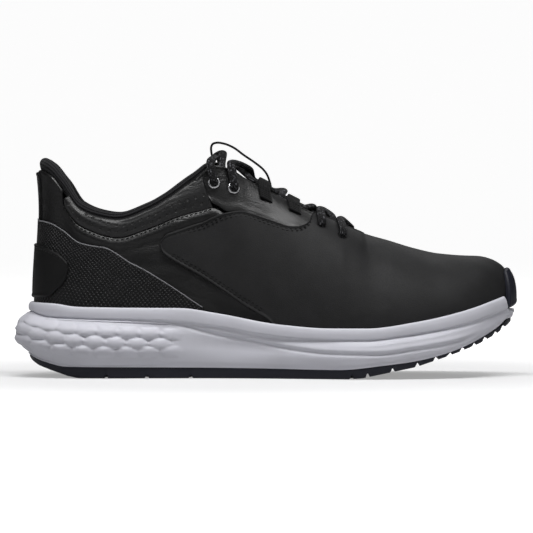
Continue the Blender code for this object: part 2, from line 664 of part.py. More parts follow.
def row_frame(row, side):
    # Hole position on the upper, its outward normal, and its surface coordinates.
    s, t = locate(*ROWS[row])
    s = mirrored(s, side)
    spot = (np.array([s]), np.array([t]))
    return base_surface(*spot)[0], surface_normal(*spot)[0], s


def cut_hole(piece, point, normal, radius):
    bm = bmesh.new()
    bmesh.ops.create_cone(bm, cap_ends=True, segments=10, radius1=radius * MM, radius2=radius * MM, depth=14 * MM)
    turn = Vector(normal).to_track_quat("Z", "Y").to_matrix().to_4x4()
    bmesh.ops.transform(bm, matrix=Matrix.Translation(Vector(point) * MM) @ turn, verts=bm.verts)
    mesh = bpy.data.meshes.new("hole_cutter")
    bm.to_mesh(mesh)
    bm.free()
    cutter = bpy.data.objects.new("hole_cutter", mesh)
    bpy.context.scene.collection.objects.link(cutter)
    cutter.hide_render = True
    cutter.display_type = "WIRE"
    cut = piece.modifiers.new("hole", "BOOLEAN")
    cut.operation = "DIFFERENCE"
    cut.solver = "EXACT"
    cut.object = cutter


EYELET_PROFILE = [(2.1, -3.1), (2.6, -3.1), (2.6, 0.35), (3.5, 0.35), (3.5, 0.8), (2.1, 0.8)]


def eyelet(name, look, point, normal):
    bm = bmesh.new()
    ring = [bm.verts.new((r * MM, 0, z * MM)) for r, z in EYELET_PROFILE]
    edges = [bm.edges.new((ring[i], ring[i - 1])) for i in range(len(ring))]
    bmesh.ops.spin(bm, geom=ring + edges, cent=(0, 0, 0), axis=(0, 0, 1), dvec=(0, 0, 0), angle=2 * math.pi,
                   steps=10, use_merge=True)
    turn = Vector(normal).to_track_quat("Z", "Y").to_matrix().to_4x4()
    bmesh.ops.transform(bm, matrix=Matrix.Translation(Vector(point) * MM) @ turn, verts=bm.verts)
    return solid(name, bm, look)


def throat_frame(s):
    # Point on the throat edge, the way inwards over the edge, the outward normal and the way to the toe.
    near = base_surface(np.array([s, s, s - 0.004, s + 0.004]), np.array([1.0, 0.95, 1.0, 1.0]))
    edge, below, before, after = near
    along = (after - before) * np.sign(after[0] - before[0])
    along /= np.linalg.norm(along)
    inwards = edge - below
    inwards -= along * inwards.dot(along)
    inwards /= np.linalg.norm(inwards)
    normal = np.cross(along, inwards)
    normal *= np.sign(normal[2])
    return edge, inwards, normal, along


# Lace loop section: how far past the throat edge (negative is back down the facing), and the height over it.
LOOP_SECTION = [(-9, 1.2), (-4, 1.3), (0, 1.8), (3.6, 1.9), (6.4, 0.4), (6.8, -1.8), (4.8, -4.2), (1.4, -4.1),
                (-2, -3.9), (-6, -3.8)]
LOOP_WIDTH = 8.0


def lace_loop(name, look, s):
    edge, inwards, normal, along = throat_frame(s)
    per_mm = 0.05 / np.linalg.norm(base_surface(np.array([s]), np.array([0.95]))[0] - edge)
    section = np.array(LOOP_SECTION, dtype=float)
    line = spline(np.column_stack([np.linspace(0, 1, len(section)), section]))

    def path(u):
        step = 0.02
        here = line(u)
        run = line(u + step) - line(u - step)
        run /= np.linalg.norm(run, axis=1)[:, None]
        past = here[:, 0]
        down = 1 + np.minimum(past, 0) * per_mm
        point = skin(np.full(len(u), s), down, here[:, 1]) + inwards * np.maximum(past, 0)[:, None]
        face = normal * run[:, 0:1] - inwards * run[:, 1:2]
        return point, face, along

    ribbon(name, look, path, LOOP_WIDTH, 0.8, 12)


def lace_side(row, side):
    return side if row % 2 == 0 else ("medial" if side == "lateral" else "lateral")


def crossing(leaving, arriving, high):
    # Where two strands cross over the tongue between a row and the next.
    x = (leaving[0] + arriving[0]) / 2
    return tongue_point(x, 0, 6.6 if high else 3.3)[0]


def row_points(row, side):
    # The lace's way in at one row: over the edge and into the hole, or along inside the webbing loop.
    point, normal, s = row_frame(row, side)
    edge, inwards, edge_normal, along = throat_frame(s)
    if row in LOOPED:
        inside = edge + inwards * 3.2 - edge_normal * 0.9
        return [inside + along * 7, inside, inside - along * 7]
    over = (OVERLAY_OUTER if row in PUNCHED else 0.8) + LACE_RADIUS + 0.9
    beneath = LACE_RADIUS + (1.2 if row in PUNCHED else 3.2)
    turn_in = point + normal * over
    brink = edge + edge_normal * over + inwards * 1.5
    under = point - normal * beneath
    below = edge - edge_normal * beneath + inwards * 0.5 - along * 2.5
    return [brink, turn_in, point, under, below]


def strand(side):
    # From the inside of the lowest hole up to the top eyelet, then tucked down inside the shoe.
    points = row_points(0, side)[2:]
    for row in range(5):
        onward = row_points(row + 1, lace_side(row + 1, side))
        points.append(crossing(points[-1], onward[0], side == "lateral"))
        points += onward
    points.pop()
    end_side = lace_side(5, side)
    tucked = [(0.455, 0.66, -6.5), (0.47, 0.58, -7), (0.5, 0.5, -7), (0.535, 0.44, -7), (0.57, 0.4, -7), (0.61, 0.37, -7.5)]
    for s, t, depth in tucked:
        points.append(skin(np.array([mirrored(s, end_side)]), np.array([t]), np.array([depth]))[0])
    return points


def cord(name, look, points, radius):
    curve = bpy.data.curves.new(name, "CURVE")
    curve.dimensions = "3D"
    curve.bevel_depth = radius * MM
    curve.bevel_resolution = 2
    curve.use_fill_caps = True
    path = curve.splines.new("POLY")
    path.points.add(len(points) - 1)
    for spot, point in zip(path.points, points):
        spot.co = (*(np.array(point) * MM), 1)
    curve.materials.append(look)
    piece = bpy.data.objects.new(name, curve)
    bpy.context.scene.collection.objects.link(piece)
    return piece


AGLET_LENGTH = 22.0


def build_lacing(looks):
    lateral = strand("lateral")
    medial = strand("medial")
    bar_lateral = row_points(0, "lateral")[:2][::-1]
    bar_medial = row_points(0, "medial")[:2]
    middle = [tongue_point(ROWS[0][0] + 3, 0, 5.4)[0]]
    cord("lace", looks["lace"], lateral[::-1] + bar_lateral + middle + bar_medial + medial, LACE_RADIUS)
    for number, points in ((1, lateral), (2, medial)):
        end = points[-1]
        way = (points[-1] - points[-2]) / np.linalg.norm(points[-1] - points[-2])
        cord("aglet_%d" % number, looks["aglet"], [end + way * 0.4, end + way * AGLET_LENGTH], 1.6)


def build_fastening(looks):
    for side in ("lateral", "medial"):
        for row in PUNCHED:
            point, normal, _ = row_frame(row, side)
            cut_hole(bpy.data.objects["vamp"], point, normal, HOLE_RADIUS)
        for row in RIMMED:
            point, normal, _ = row_frame(row, side)
            cut_hole(bpy.data.objects["eyestay_" + side], point, normal, EYELET_HOLE_RADIUS)
            eyelet("eyelet_%s_%d" % (side, row - 3), looks["rim"], point, normal)
        for row in LOOPED:
            lace_loop("lace_loop_%s_%d" % (side, row - 1), looks["webbing"], row_frame(row, side)[2])


# Moving groups: a pivot empty on each joint axis, and the pieces that turn or slide with it.
TONGUE_HINGE = (60.0, 0.0, 77.5)
INSOLE_GUIDE = (0.0, 0.0, 34.0)
PULL_LOOP_HINGE = (-30.6, 0.0, 129.6)
PIVOTS = [("tongue_hinge", TONGUE_HINGE, ["tongue_shell", "tongue_foam", "tongue_lining", "tongue_strap"]),
          ("insole_lift", INSOLE_GUIDE, ["insole_foam", "insole_top_cloth"]),
          ("pull_loop_sway", PULL_LOOP_HINGE, ["pull_loop"])]
# Brings the middle of the whole object's box over the origin.
CENTRING = Vector((-0.2, 1.26, 0.0)) * MM


def attach(child, parent):
    child.parent = parent
    child.matrix_parent_inverse = Matrix.Translation(-parent.matrix_world.translation)


def centre_and_pivot():
    for piece in list(bpy.data.objects):
        piece.data.transform(Matrix.Translation(CENTRING))
    for name, place, pieces in PIVOTS:
        pivot = bpy.data.objects.new(name, None)
        pivot.location = Vector(place) * MM + CENTRING
        bpy.context.scene.collection.objects.link(pivot)
        bpy.context.view_layer.update()
        for piece in pieces:
            attach(bpy.data.objects[piece], pivot)
    attach(bpy.data.objects["pull_loop_sway"], bpy.data.objects["tongue_hinge"])


def main():
    for item in list(bpy.data.objects):
        bpy.data.objects.remove(item, do_unlink=True)
    looks = {
        "vamp": material("vamp_leather", (0.035, 0.035, 0.037), 0.55),
        "quarter": material("quarter_leather", (0.008, 0.008, 0.009), 0.42),
        "collar": material("collar_leather", (0.01, 0.01, 0.011), 0.45),
        "wrap": material("embossed_wrap", (0.006, 0.006, 0.007), 0.4),
        "patch": material("smooth_patch", (0.008, 0.008, 0.008), 0.5),
        "lining": material("knit_lining", (0.02, 0.02, 0.021), 0.9),
        "foam": material("soft_foam", (0.3, 0.3, 0.31), 0.9),
        "board": material("fibre_board", (0.45, 0.42, 0.36), 0.8),
        "midsole": material("pale_midsole", (0.56, 0.56, 0.62), 0.55),
        "webbing": material("webbing", (0.012, 0.012, 0.013), 0.7),
        "lace": material("lace_yarn", (0.02, 0.02, 0.024), 0.85),
        "aglet": material("aglet_film", (0.01, 0.01, 0.01), 0.3),
        "rim": material("silver_rim", (0.6, 0.6, 0.62), 0.25, 1.0),
        "rubber": material("navy_rubber", (0.016, 0.017, 0.026), 0.5),
    }
    build_upper_panels(looks)
    build_inner_layers(looks)
    collar_roll(looks)
    build_sole(looks)
    build_tongue(looks)
    build_fastening(looks)
    build_lacing(looks)
    centre_and_pivot()


main()
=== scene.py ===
import math

import bmesh
import bpy
import numpy as np
from mathutils import Matrix, Vector


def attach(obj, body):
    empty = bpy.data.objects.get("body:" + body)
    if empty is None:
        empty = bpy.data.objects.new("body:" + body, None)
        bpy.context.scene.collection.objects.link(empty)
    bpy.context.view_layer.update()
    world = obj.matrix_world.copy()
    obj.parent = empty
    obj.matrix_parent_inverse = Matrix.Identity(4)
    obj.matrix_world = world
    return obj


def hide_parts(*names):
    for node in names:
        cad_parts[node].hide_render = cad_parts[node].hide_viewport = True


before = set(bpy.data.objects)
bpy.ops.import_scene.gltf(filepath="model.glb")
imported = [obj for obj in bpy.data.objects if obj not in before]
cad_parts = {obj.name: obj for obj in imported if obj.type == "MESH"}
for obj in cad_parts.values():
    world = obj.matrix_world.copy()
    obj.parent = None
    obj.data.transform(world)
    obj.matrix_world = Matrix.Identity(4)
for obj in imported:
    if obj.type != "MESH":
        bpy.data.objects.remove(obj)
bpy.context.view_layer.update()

mm = 0.001
centring = np.array([-0.2, 1.26, 0.0])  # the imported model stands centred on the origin
print("frame loaded")

# The last of the shoe: plan of the feather line, side profile of the sole, and top line, in millimetres.
heelX = -137.0
toeX = 146.5
lateralPlan = [(-137, 0), (-130, 20), (-115, 31), (-90, 36), (-60, 36), (-30, 37), (0, 41),
               (30, 46), (55, 48.5), (80, 47), (105, 40.5), (125, 29), (138, 15), (146.5, -6)]
medialPlan = [(-137, 0), (-130, 20), (-115, 30), (-90, 34), (-60, 33), (-30, 32), (0, 36),
              (30, 42), (55, 45.5), (80, 46), (105, 43), (125, 35), (138, 24), (146.5, 6)]
rimLine = [(-141, 44.5), (-126, 44), (-112, 42.3), (-80, 41.8), (-50, 41.6), (-29, 38.7), (9, 32),
           (39, 29.9), (60, 29.9), (91, 33.9), (117, 39.5), (147, 49)]
grooveLine = [(-141, 39), (-129, 36.1), (-101, 35.1), (-65, 33.9), (-29, 30.3), (9, 24.6), (39, 22.8),
              (60, 22.8), (80, 24.9), (101, 28.1), (122, 32.7), (147, 41)]
creaseLine = [(-60, 34), (-49.8, 31.5), (-29, 26), (-8.4, 22.2), (9, 18.5), (38.8, 15), (64.8, 14.5), (90.6, 17.7),
              (117, 22.5), (130, 28)]
soleEdgeLine = [(-141, 13.5), (-132, 10), (-117, 7), (-91, 6.9), (-4, 6.3), (42, 5.7), (73, 8.7),
                (91, 11.3), (112, 16.8), (127, 22.8), (141, 29.9), (147, 34.8)]
groundLine = [(-142, 12.9), (-139, 9.6), (-134.6, 7), (-127, 4.4), (-122, 2.9), (-117, 1.2), (-111, 0),
              (50, 0), (57.6, 0.6), (88.6, 7), (101, 10.9), (114.6, 15.5), (127, 20.1), (138, 25.5),
              (145.8, 31), (149, 34)]
bellyOut = [(-137, 14), (-115, 12), (-90, 9.5), (-60, 6), (-30, 3.8), (0, 3.5), (30, 5), (60, 6.5),
            (90, 6.5), (115, 5), (135, 3.5), (146.5, 2.5)]
edgeOut = [(-137, 4.6), (-115, 5), (-90, 4.5), (-60, 2.5), (-30, 1), (0, 1), (30, 2.5), (60, 5),
           (90, 5.2), (115, 4), (135, 1.8), (146.5, 1.6)]
topLine = [(-137, -136.4, 0, 124.7), (-133, -134, 9, 124.2), (-128, -129, 16, 121.6), (-118, -121, 21.5, 113.7),
           (-106, -111, 26.5, 100.9), (-92, -99, 30, 96), (-80, -88, 31, 94.4), (-60, -70, 30.5, 100.3),
           (-46, -58, 30, 107), (-30, -43.3, 27, 117.3), (-16, -29.4, 24, 126.4), (-9, -21, 21.5, 124.3),
           (-3, -12, 19.5, 118.5), (10, 3, 17, 110.5), (24, 18, 15.5, 102.8), (36, 31, 14, 96.2),
           (46, 42, 12.2, 91), (54, 51, 9, 87), (58.5, 56.2, 5, 84.9), (61, 59, 0, 83.6),
           (75, 73.5, 0, 79.4), (90, 88.6, 0, 74.8), (105, 103.8, 0, 71.5), (120, 119.4, 0, 70.2),
           (129, 128, 0, 69.9), (137, 135.5, 0, 68.1), (143, 141.2, 0, 64.7), (146.5, 143.6, 0, 61.6)]
ridgeY = [(-137, 0), (61, 0), (90, 2), (120, 4), (146.5, 5)]
handleTable = [(-137, 0.1, 0.38, 4.5), (-118, 0.1, 0.36, 2), (-80, 0.1, 0.3, 0), (-30, 0.2, 0.28, 0),
               (-3, 0.45, 0.14, 0), (30, 0.52, 0.08, 0), (61, 0.6, 0.03, 0), (146.5, 0.62, 0.01, 0)]
forefootSwell = [(-137, 0), (-60, 0), (20, 1.0), (90, 1.6), (146.5, 0.6)]
cupDepth = 6.0
lowerRise = 0.46


def curveThrough(rows):
    # Smooth curve through rows of (parameter, values...), which never overshoots its rows.
    table = np.array(rows, dtype=float)
    knots = table[:, 0]
    values = table[:, 1:]
    secants = np.diff(values, axis=0) / np.diff(knots)[:, None]
    before = secants[:-1]
    after = secants[1:]
    turning = before * after <= 0
    total = np.where(turning, 1, before + after)
    inner = np.where(turning, 0, 2 * before * after / total)
    slopes = np.vstack([secants[:1], inner, secants[-1:]])

    def at(q):
        q = np.clip(np.atleast_1d(np.asarray(q, dtype=float)), knots[0], knots[-1])
        i = np.clip(np.searchsorted(knots, q, side="right") - 1, 0, len(knots) - 2)
        span = knots[i + 1] - knots[i]
        k = ((q - knots[i]) / span)[:, None]
        span = span[:, None]
        rise = values[i + 1] - values[i]
        cubic = slopes[i] * span + slopes[i + 1] * span - 2 * rise
        square = 3 * rise - 2 * slopes[i] * span - slopes[i + 1] * span
        result = values[i] + k * (slopes[i] * span + k * (square + k * cubic))
        return result[:, 0] if result.shape[1] == 1 else result

    return at


def stationOf(x):
    share = np.clip((np.asarray(x, dtype=float) - heelX) / (toeX - heelX), 0, 1)
    return np.arccos(1 - 2 * share) / math.pi


def byStation(rows):
    return curveThrough([(float(stationOf(row[0])),) + tuple(row[1:]) for row in rows])


lateralAt = byStation(lateralPlan)
medialAt = byStation(medialPlan)
rimByStation = byStation(rimLine)
rimAt = curveThrough(rimLine)
grooveAt = curveThrough(grooveLine)
creaseAt = curveThrough(creaseLine)
soleEdgeAt = curveThrough(soleEdgeLine)
bellyAt = byStation(bellyOut)
edgeAt = byStation(edgeOut)
topAt = byStation(topLine)
ridgeAt = byStation(ridgeY)
handleAt = byStation(handleTable)
swellAt = byStation(forefootSwell)
throatEnd = float(stationOf(61.0))


def foldOf(s):
    # s runs round the shoe: 0 heel centre, up to 1 along the lateral side, 1 to 2 back along the medial side.
    s = np.mod(np.asarray(s, dtype=float) + 1, 2) - 1
    return np.abs(s), np.where(s >= 0, -1.0, 1.0)


def featherAt(s):
    a, side = foldOf(s)
    x = heelX + (toeX - heelX) * (1 - np.cos(math.pi * a)) / 2
    y = np.where(side < 0, -lateralAt(a), medialAt(a))
    return np.stack([x, y, rimByStation(a) - cupDepth], axis=-1)


def outwardAt(s):
    step = 0.004
    run = featherAt(np.asarray(s) + step) - featherAt(np.asarray(s) - step)
    normal = np.stack([run[:, 1], -run[:, 0], np.zeros(len(run))], axis=-1)
    return normal / np.linalg.norm(normal, axis=1)[:, None]


def upperSurface(s, t):
    # Outer surface of the upper: one cubic from the feather line to the top line at each station.
    a, side = foldOf(s)
    low = featherAt(s)
    top = topAt(a)
    half = np.where(a >= throatEnd - 1e-6, 0, np.maximum(top[:, 1], 0))
    high = np.stack([top[:, 0], ridgeAt(a) + side * half, top[:, 2]], axis=-1)
    out = outwardAt(s)
    reach = handleAt(a)
    height = (high[:, 2] - low[:, 2])[:, None]
    up = np.array([0.0, 0.0, 1.0])
    spread = low - high
    spread[:, 2] = 0
    first = low + up * height * lowerRise + out * swellAt(a)[:, None] * 2
    second = high + spread * reach[:, 0:1] - up * height * reach[:, 1:2] - out * reach[:, 2:3]
    t = np.asarray(t, dtype=float)[:, None]
    r = 1 - t
    return r ** 3 * low + 3 * r * r * t * first + 3 * r * t * t * second + t ** 3 * high


def upperNormal(s, t):
    step = 0.004
    s = np.asarray(s, dtype=float)
    t = np.asarray(t, dtype=float)
    lower = np.clip(t - step, 0, 1)
    upper = np.clip(t + step, 0, 1)
    along = upperSurface(s + step, t) - upperSurface(s - step, t)
    across = upperSurface(s, upper) - upperSurface(s, lower)
    normal = np.cross(along, across)
    a, _ = foldOf(s)
    onRidge = (t > 0.999) & (a >= throatEnd - 1e-4)
    inner = np.clip(a, 0, 0.985)
    slope = topAt(np.clip(inner + step, 0, 1)) - topAt(inner - step)
    ridge = np.stack([-slope[:, 2], np.zeros(len(a)), slope[:, 0]], axis=-1)
    normal = np.where(onRidge[:, None], ridge, normal)
    return normal / np.linalg.norm(normal, axis=1)[:, None]


def skinAt(s, t, depth):
    # Point at a signed distance from the surface of the upper, positive outside.
    t = np.clip(t, 0, 1)
    return upperSurface(s, t) + upperNormal(s, t) * np.asarray(depth, dtype=float)[:, None]


searchS, searchT = (grid.ravel() for grid in np.meshgrid(np.linspace(0, 1, 1200), np.linspace(0, 1, 400), indexing="ij"))
searchXZ = upperSurface(searchS, searchT)[:, [0, 2]]


def locate(x, z):
    best = int(np.argmin(((searchXZ - (x, z)) ** 2).sum(axis=1)))
    return searchS[best], searchT[best]


def trace(points):
    points = np.array(points, dtype=float)
    seen = upperSurface(points[:, 0], points[:, 1])
    length = np.concatenate([[0], np.cumsum(np.linalg.norm(np.diff(seen, axis=0), axis=1))])
    return curveThrough(np.column_stack([length / length[-1], points]))


def sideTrace(pairs):
    return trace([locate(x, z) for x, z in pairs])


def topNear(x):
    stations = np.linspace(0, 1, 2000)
    return float(stations[np.argmin(np.abs(topAt(stations)[:, 0] - x))]), 1.0


def mirroredTo(s, side):
    return s if side == "lateral" else 2 - s


def smooth(x, low, high):
    k = np.clip((x - low) / (high - low), 0, 1)
    return k * k * (3 - 2 * k)


def bump(x, centre, width):
    return np.exp(-((x - centre) / width) ** 2)


def flatGrid(columns, rows, thick=True):
    # Unit grid, u and v from 0 to 1; the thick one has its outer layer at w = 0 and its inner one at w = 1.
    bm = bmesh.new()
    bmesh.ops.create_grid(bm, x_segments=columns, y_segments=rows, size=0.5)
    bmesh.ops.translate(bm, vec=(0.5, 0.5, 0), verts=bm.verts)
    if thick:
        grown = bmesh.ops.extrude_face_region(bm, geom=bm.faces[:], use_keep_orig=True)
        inner = [item for item in grown["geom"] if isinstance(item, bmesh.types.BMVert)]
        bmesh.ops.translate(bm, vec=(0, 0, 1), verts=inner)
    return bm


def wrapGrid(bm, place, spread=None):
    # Lays the unit grid on its surface and keeps its pattern place, in millimetres, as a UV map.
    flat = np.array([vert.co[:] for vert in bm.verts])
    u, v, w = flat.T
    points = (place(u, v, w) + centring) * mm
    pattern = np.column_stack([u, v]) if spread is None else spread(u, v)
    layer = bm.loops.layers.uv.new("pattern")
    for face in bm.faces:
        for loop in face.loops:
            loop[layer].uv = pattern[loop.vert.index]
    for vert, point in zip(bm.verts, points):
        vert.co = point


def finishPiece(name, bm, look, body="shoe", sharp=40, weld=0.00001):
    bmesh.ops.remove_doubles(bm, verts=bm.verts[:], dist=weld)
    bmesh.ops.dissolve_degenerate(bm, edges=bm.edges[:], dist=weld)
    bmesh.ops.recalc_face_normals(bm, faces=bm.faces[:])
    if bm.calc_volume(signed=True) < 0:
        bmesh.ops.reverse_faces(bm, faces=bm.faces[:])
    mesh = bpy.data.meshes.new(name)
    bm.to_mesh(mesh)
    bm.free()
    mesh.materials.append(look)
    mesh.shade_smooth()
    mesh.set_sharp_from_angle(angle=math.radians(sharp))
    piece = bpy.data.objects.new(name, mesh)
    bpy.context.scene.collection.objects.link(piece)
    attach(piece, body)
    return piece


def joinInto(bm, other):
    # Adds a finished part of a piece to it.
    mesh = bpy.data.meshes.new("part")
    other.to_mesh(mesh)
    other.free()
    bm.from_mesh(mesh)
    bpy.data.meshes.remove(mesh)


def easedEnds(v, strength=0.8):
    # Crowds the rows of a grid towards its two edges, where piping and stitching need them.
    return v - strength * np.sin(2 * math.pi * v) / (2 * math.pi)


def roundedEdge(distance, radius):
    k = 1 - np.clip(distance / radius, 0, 1)
    return np.sqrt(np.clip(1 - k * k, 0, 1))


def leatherPanel(name, look, lower, upper, columns, rows, outer, inner, side=None, centre=None, relief=None,
                 radius=0.9, piping=0.0, ends=True, sharp=50):
    # Panel between two traced edges. side mirrors it; centre (0 heel, 1 toe) runs it round both sides instead.
    around = centre is not None
    bm = flatGrid(2 * columns if around else columns, rows)
    if centre == 1:
        edge = upper(np.linspace(0, 1, columns + 1))
        onRidge = (edge[:, 0] >= throatEnd) & (edge[:, 1] > 0.9999)
        zipFrom = np.argmax(onRidge) / columns - 1e-6
        walls = [face for face in bm.faces if face.calc_center_median().y > 0.9999
                 and 1 - abs(2 * face.calc_center_median().x - 1) - 0.5 / columns > zipFrom]
        bmesh.ops.delete(bm, geom=walls, context="FACES")

    def measure(u, v):
        q = np.abs(2 * u - 1) if around else u
        q = 1 - q if centre == 1 else q
        if not around:
            q = easedEnds(q, 0.6)
        v = easedEnds(v)
        low = lower(q)
        high = upper(q)
        lowPoint = upperSurface(low[:, 0], low[:, 1])
        height = np.linalg.norm(upperSurface(high[:, 0], high[:, 1]) - lowPoint, axis=1)
        grid = np.linspace(0, 1, 400)
        middle = (lower(grid) + upper(grid)) / 2
        line = upperSurface(middle[:, 0], middle[:, 1])
        run = np.concatenate([[0], np.cumsum(np.linalg.norm(np.diff(line, axis=0), axis=1))])
        return q, v, low, high, height, np.interp(q, grid, run), run[-1]

    def place(u, v, w):
        q, v, low, high, height, run, total = measure(u, v)
        s = low[:, 0] * (1 - v) + high[:, 0] * v
        t = low[:, 1] * (1 - v) + high[:, 1] * v
        fromLow = v * height
        fromHigh = (1 - v) * height
        zipped = (centre == 1) & (high[:, 0] >= throatEnd - 1e-3)
        fromHigh = np.where(zipped, 99, fromHigh)
        nearest = np.minimum(fromLow, fromHigh)
        if not around and ends:
            nearest = np.minimum(nearest, np.minimum(run, total - run))
        outerDepth = outer(s, t) if callable(outer) else outer
        innerDepth = inner(s, t) if callable(inner) else inner
        face = innerDepth + (outerDepth - innerDepth) * roundedEdge(nearest, radius)
        face = face + piping * bump(nearest, 1.2, 0.65) - 0.35 * piping * bump(nearest, 2.6, 0.5)
        if relief is not None:
            face = face + relief(s, t, run, fromLow, fromHigh) * smooth(nearest, 0.3, 1.6)
        depth = np.where(w < 0.5, face, innerDepth)
        if centre == 0:
            s = np.where(u > 0.5, -s, s)
        elif centre == 1:
            s = np.where(u > 0.5, 2 - s, s)
        elif side == "medial":
            s = 2 - s
        return skinAt(s, t, depth)

    def spread(u, v):
        q, v, low, high, height, run, total = measure(u, v)
        return np.column_stack([run, v * height])

    wrapGrid(bm, place, spread)
    return finishPiece(name, bm, look, sharp=sharp)


def stitchRow(name, look, line, depthAt, pitch=2.9, length=2.1, thickness=0.65, body="shoe", sides=("lateral", "medial")):
    # Row of raised thread ends along a path of surface coordinates, the same on both sides.
    grid = line(np.linspace(0, 1, 900))
    bm = bmesh.new()
    for side in sides:
        s = mirroredTo(grid[:, 0], side)
        points = skinAt(s, grid[:, 1], np.full(len(s), 0.0) + depthAt)
        run = np.concatenate([[0], np.cumsum(np.linalg.norm(np.diff(points, axis=0), axis=1))])
        for middle in np.arange(pitch, run[-1] - pitch * 0.5, pitch):
            i = int(np.searchsorted(run, middle))
            way = Vector(points[min(i + 3, len(points) - 1)] - points[max(i - 3, 0)]).normalized()
            out = Vector(upperNormal(s[i:i + 1], grid[i:i + 1, 1])[0])
            across = out.cross(way).normalized()
            turn = Matrix((way, across, way.cross(across))).transposed().to_4x4()
            made = bmesh.ops.create_uvsphere(bm, u_segments=6, v_segments=5, radius=0.5 * mm)
            size = Matrix.Diagonal((length, thickness * 1.25, thickness, 1))
            lean = Matrix.Rotation(0.12, 4, "Z")
            where = Matrix.Translation(Vector((points[i] + centring) * mm))
            bmesh.ops.transform(bm, matrix=where @ turn @ lean @ size, verts=made["verts"])
    return finishPiece(name, bm, look, body, sharp=180)


def tapeAlong(bm, pathAt, width, thickness, columns, rows=8, crown=0.0):
    # Flat tape with softly rounded edges along a path of frames (point, face direction, width direction).
    part = flatGrid(columns, rows, thick=False)
    span = pathAt(np.linspace(0, 1, 200))[0]
    total = np.linalg.norm(np.diff(span, axis=0), axis=1).sum()

    def place(u, v, w):
        point, face, across = pathAt(u)
        angle = 2 * math.pi * v
        wide = np.sign(np.cos(angle)) * np.abs(np.cos(angle)) ** 0.35 * width / 2
        high = np.sign(np.sin(angle)) * np.abs(np.sin(angle)) ** 0.6 * thickness / 2
        high = high + crown * (1 - (2 * wide / width) ** 2)
        return point + across * wide[:, None] + face * high[:, None]

    def spread(u, v):
        return np.column_stack([u * total, np.abs(2 * v - 1) * width])

    wrapGrid(part, place, spread)
    bmesh.ops.remove_doubles(part, verts=part.verts[:], dist=0.00001)
    bmesh.ops.holes_fill(part, edges=part.edges[:], sides=0)
    joinInto(bm, part)


print("materials")


def node(tree, kind, inputs=None, **settings):
    made = tree.nodes.new("ShaderNode" + kind)
    for key, value in settings.items():
        setattr(made, key, value)
    for key, value in (inputs or {}).items():
        if isinstance(value, bpy.types.NodeSocket):
            tree.links.new(value, made.inputs[key])
        else:
            made.inputs[key].default_value = value
    return made


def calc(tree, operation, a, b=0.0, c=0.0):
    return node(tree, "Math", {0: a, 1: b, 2: c}, operation=operation).outputs[0]


def ramp(tree, value, low, high):
    return node(tree, "MapRange", {"Value": value, "From Min": low, "From Max": high},
                interpolation_type="SMOOTHSTEP").outputs["Result"]


def mixed(tree, factor, first, second):
    made = node(tree, "Mix", {0: factor, 6: first, 7: second}, data_type="RGBA")
    return made.outputs[2]


def newGroup(name, inputs, outputs):
    tree = bpy.data.node_groups.new(name, "ShaderNodeTree")
    for label, kind, value in inputs:
        socket = tree.interface.new_socket(label, in_out="INPUT", socket_type="NodeSocket" + kind)
        if value is not None:
            socket.default_value = value
    for label, kind in outputs:
        tree.interface.new_socket(label, in_out="OUTPUT", socket_type="NodeSocket" + kind)
    return tree, tree.nodes.new("NodeGroupInput").outputs, tree.nodes.new("NodeGroupOutput").inputs


def hideGrain():
    # Fine pebbled grain with slow changes of tone; the vector is in metres.
    tree, given, out = newGroup("hideGrain", [("Vector", "Vector", None), ("Size", "Float", 0.9), ("Dark", "Color", None),
                                              ("Light", "Color", None)], [("Color", "Color"), ("Height", "Float")])
    metres = node(tree, "VectorMath", {0: given["Vector"], 1: (1000, 1000, 1000)}, operation="MULTIPLY").outputs[0]
    each = calc(tree, "DIVIDE", 1.0, given["Size"])
    cells = node(tree, "TexVoronoi", {"Vector": metres, "Scale": each, "Randomness": 0.9})
    fine = node(tree, "TexNoise", {"Vector": metres, "Scale": 2.6, "Detail": 3.0})
    slow = node(tree, "TexNoise", {"Vector": metres, "Scale": 0.09, "Detail": 3.0})
    tone = ramp(tree, calc(tree, "MULTIPLY_ADD", fine.outputs[0], 0.25, slow.outputs[0]), 0.42, 0.85)
    tree.links.new(mixed(tree, tone, given["Dark"], given["Light"]), out["Color"])
    tree.links.new(calc(tree, "MULTIPLY_ADD", fine.outputs[0], 0.5, cells.outputs["Distance"]), out["Height"])
    return tree


def softWrinkles():
    # Long thin creases that run along the first direction of the pattern, in millimetres.
    tree, given, out = newGroup("softWrinkles", [("Vector", "Vector", None), ("Spacing", "Float", 1.6)],
                                [("Height", "Float"), ("Mask", "Float")])
    each = calc(tree, "DIVIDE", 1.0, given["Spacing"])
    stretched = node(tree, "Mapping", {"Vector": given["Vector"], "Scale": (0.16, 1.0, 1.0)}).outputs[0]
    creases = node(tree, "TexNoise", {"Vector": stretched, "Scale": each, "Detail": 4.0, "Distortion": 0.6})
    where = node(tree, "TexNoise", {"Vector": given["Vector"], "Scale": 0.045, "Detail": 1.0})
    mask = ramp(tree, where.outputs[0], 0.38, 0.62)
    tree.links.new(mask, out["Mask"])
    tree.links.new(calc(tree, "MULTIPLY", ramp(tree, creases.outputs[0], 0.35, 0.62), mask), out["Height"])
    return tree


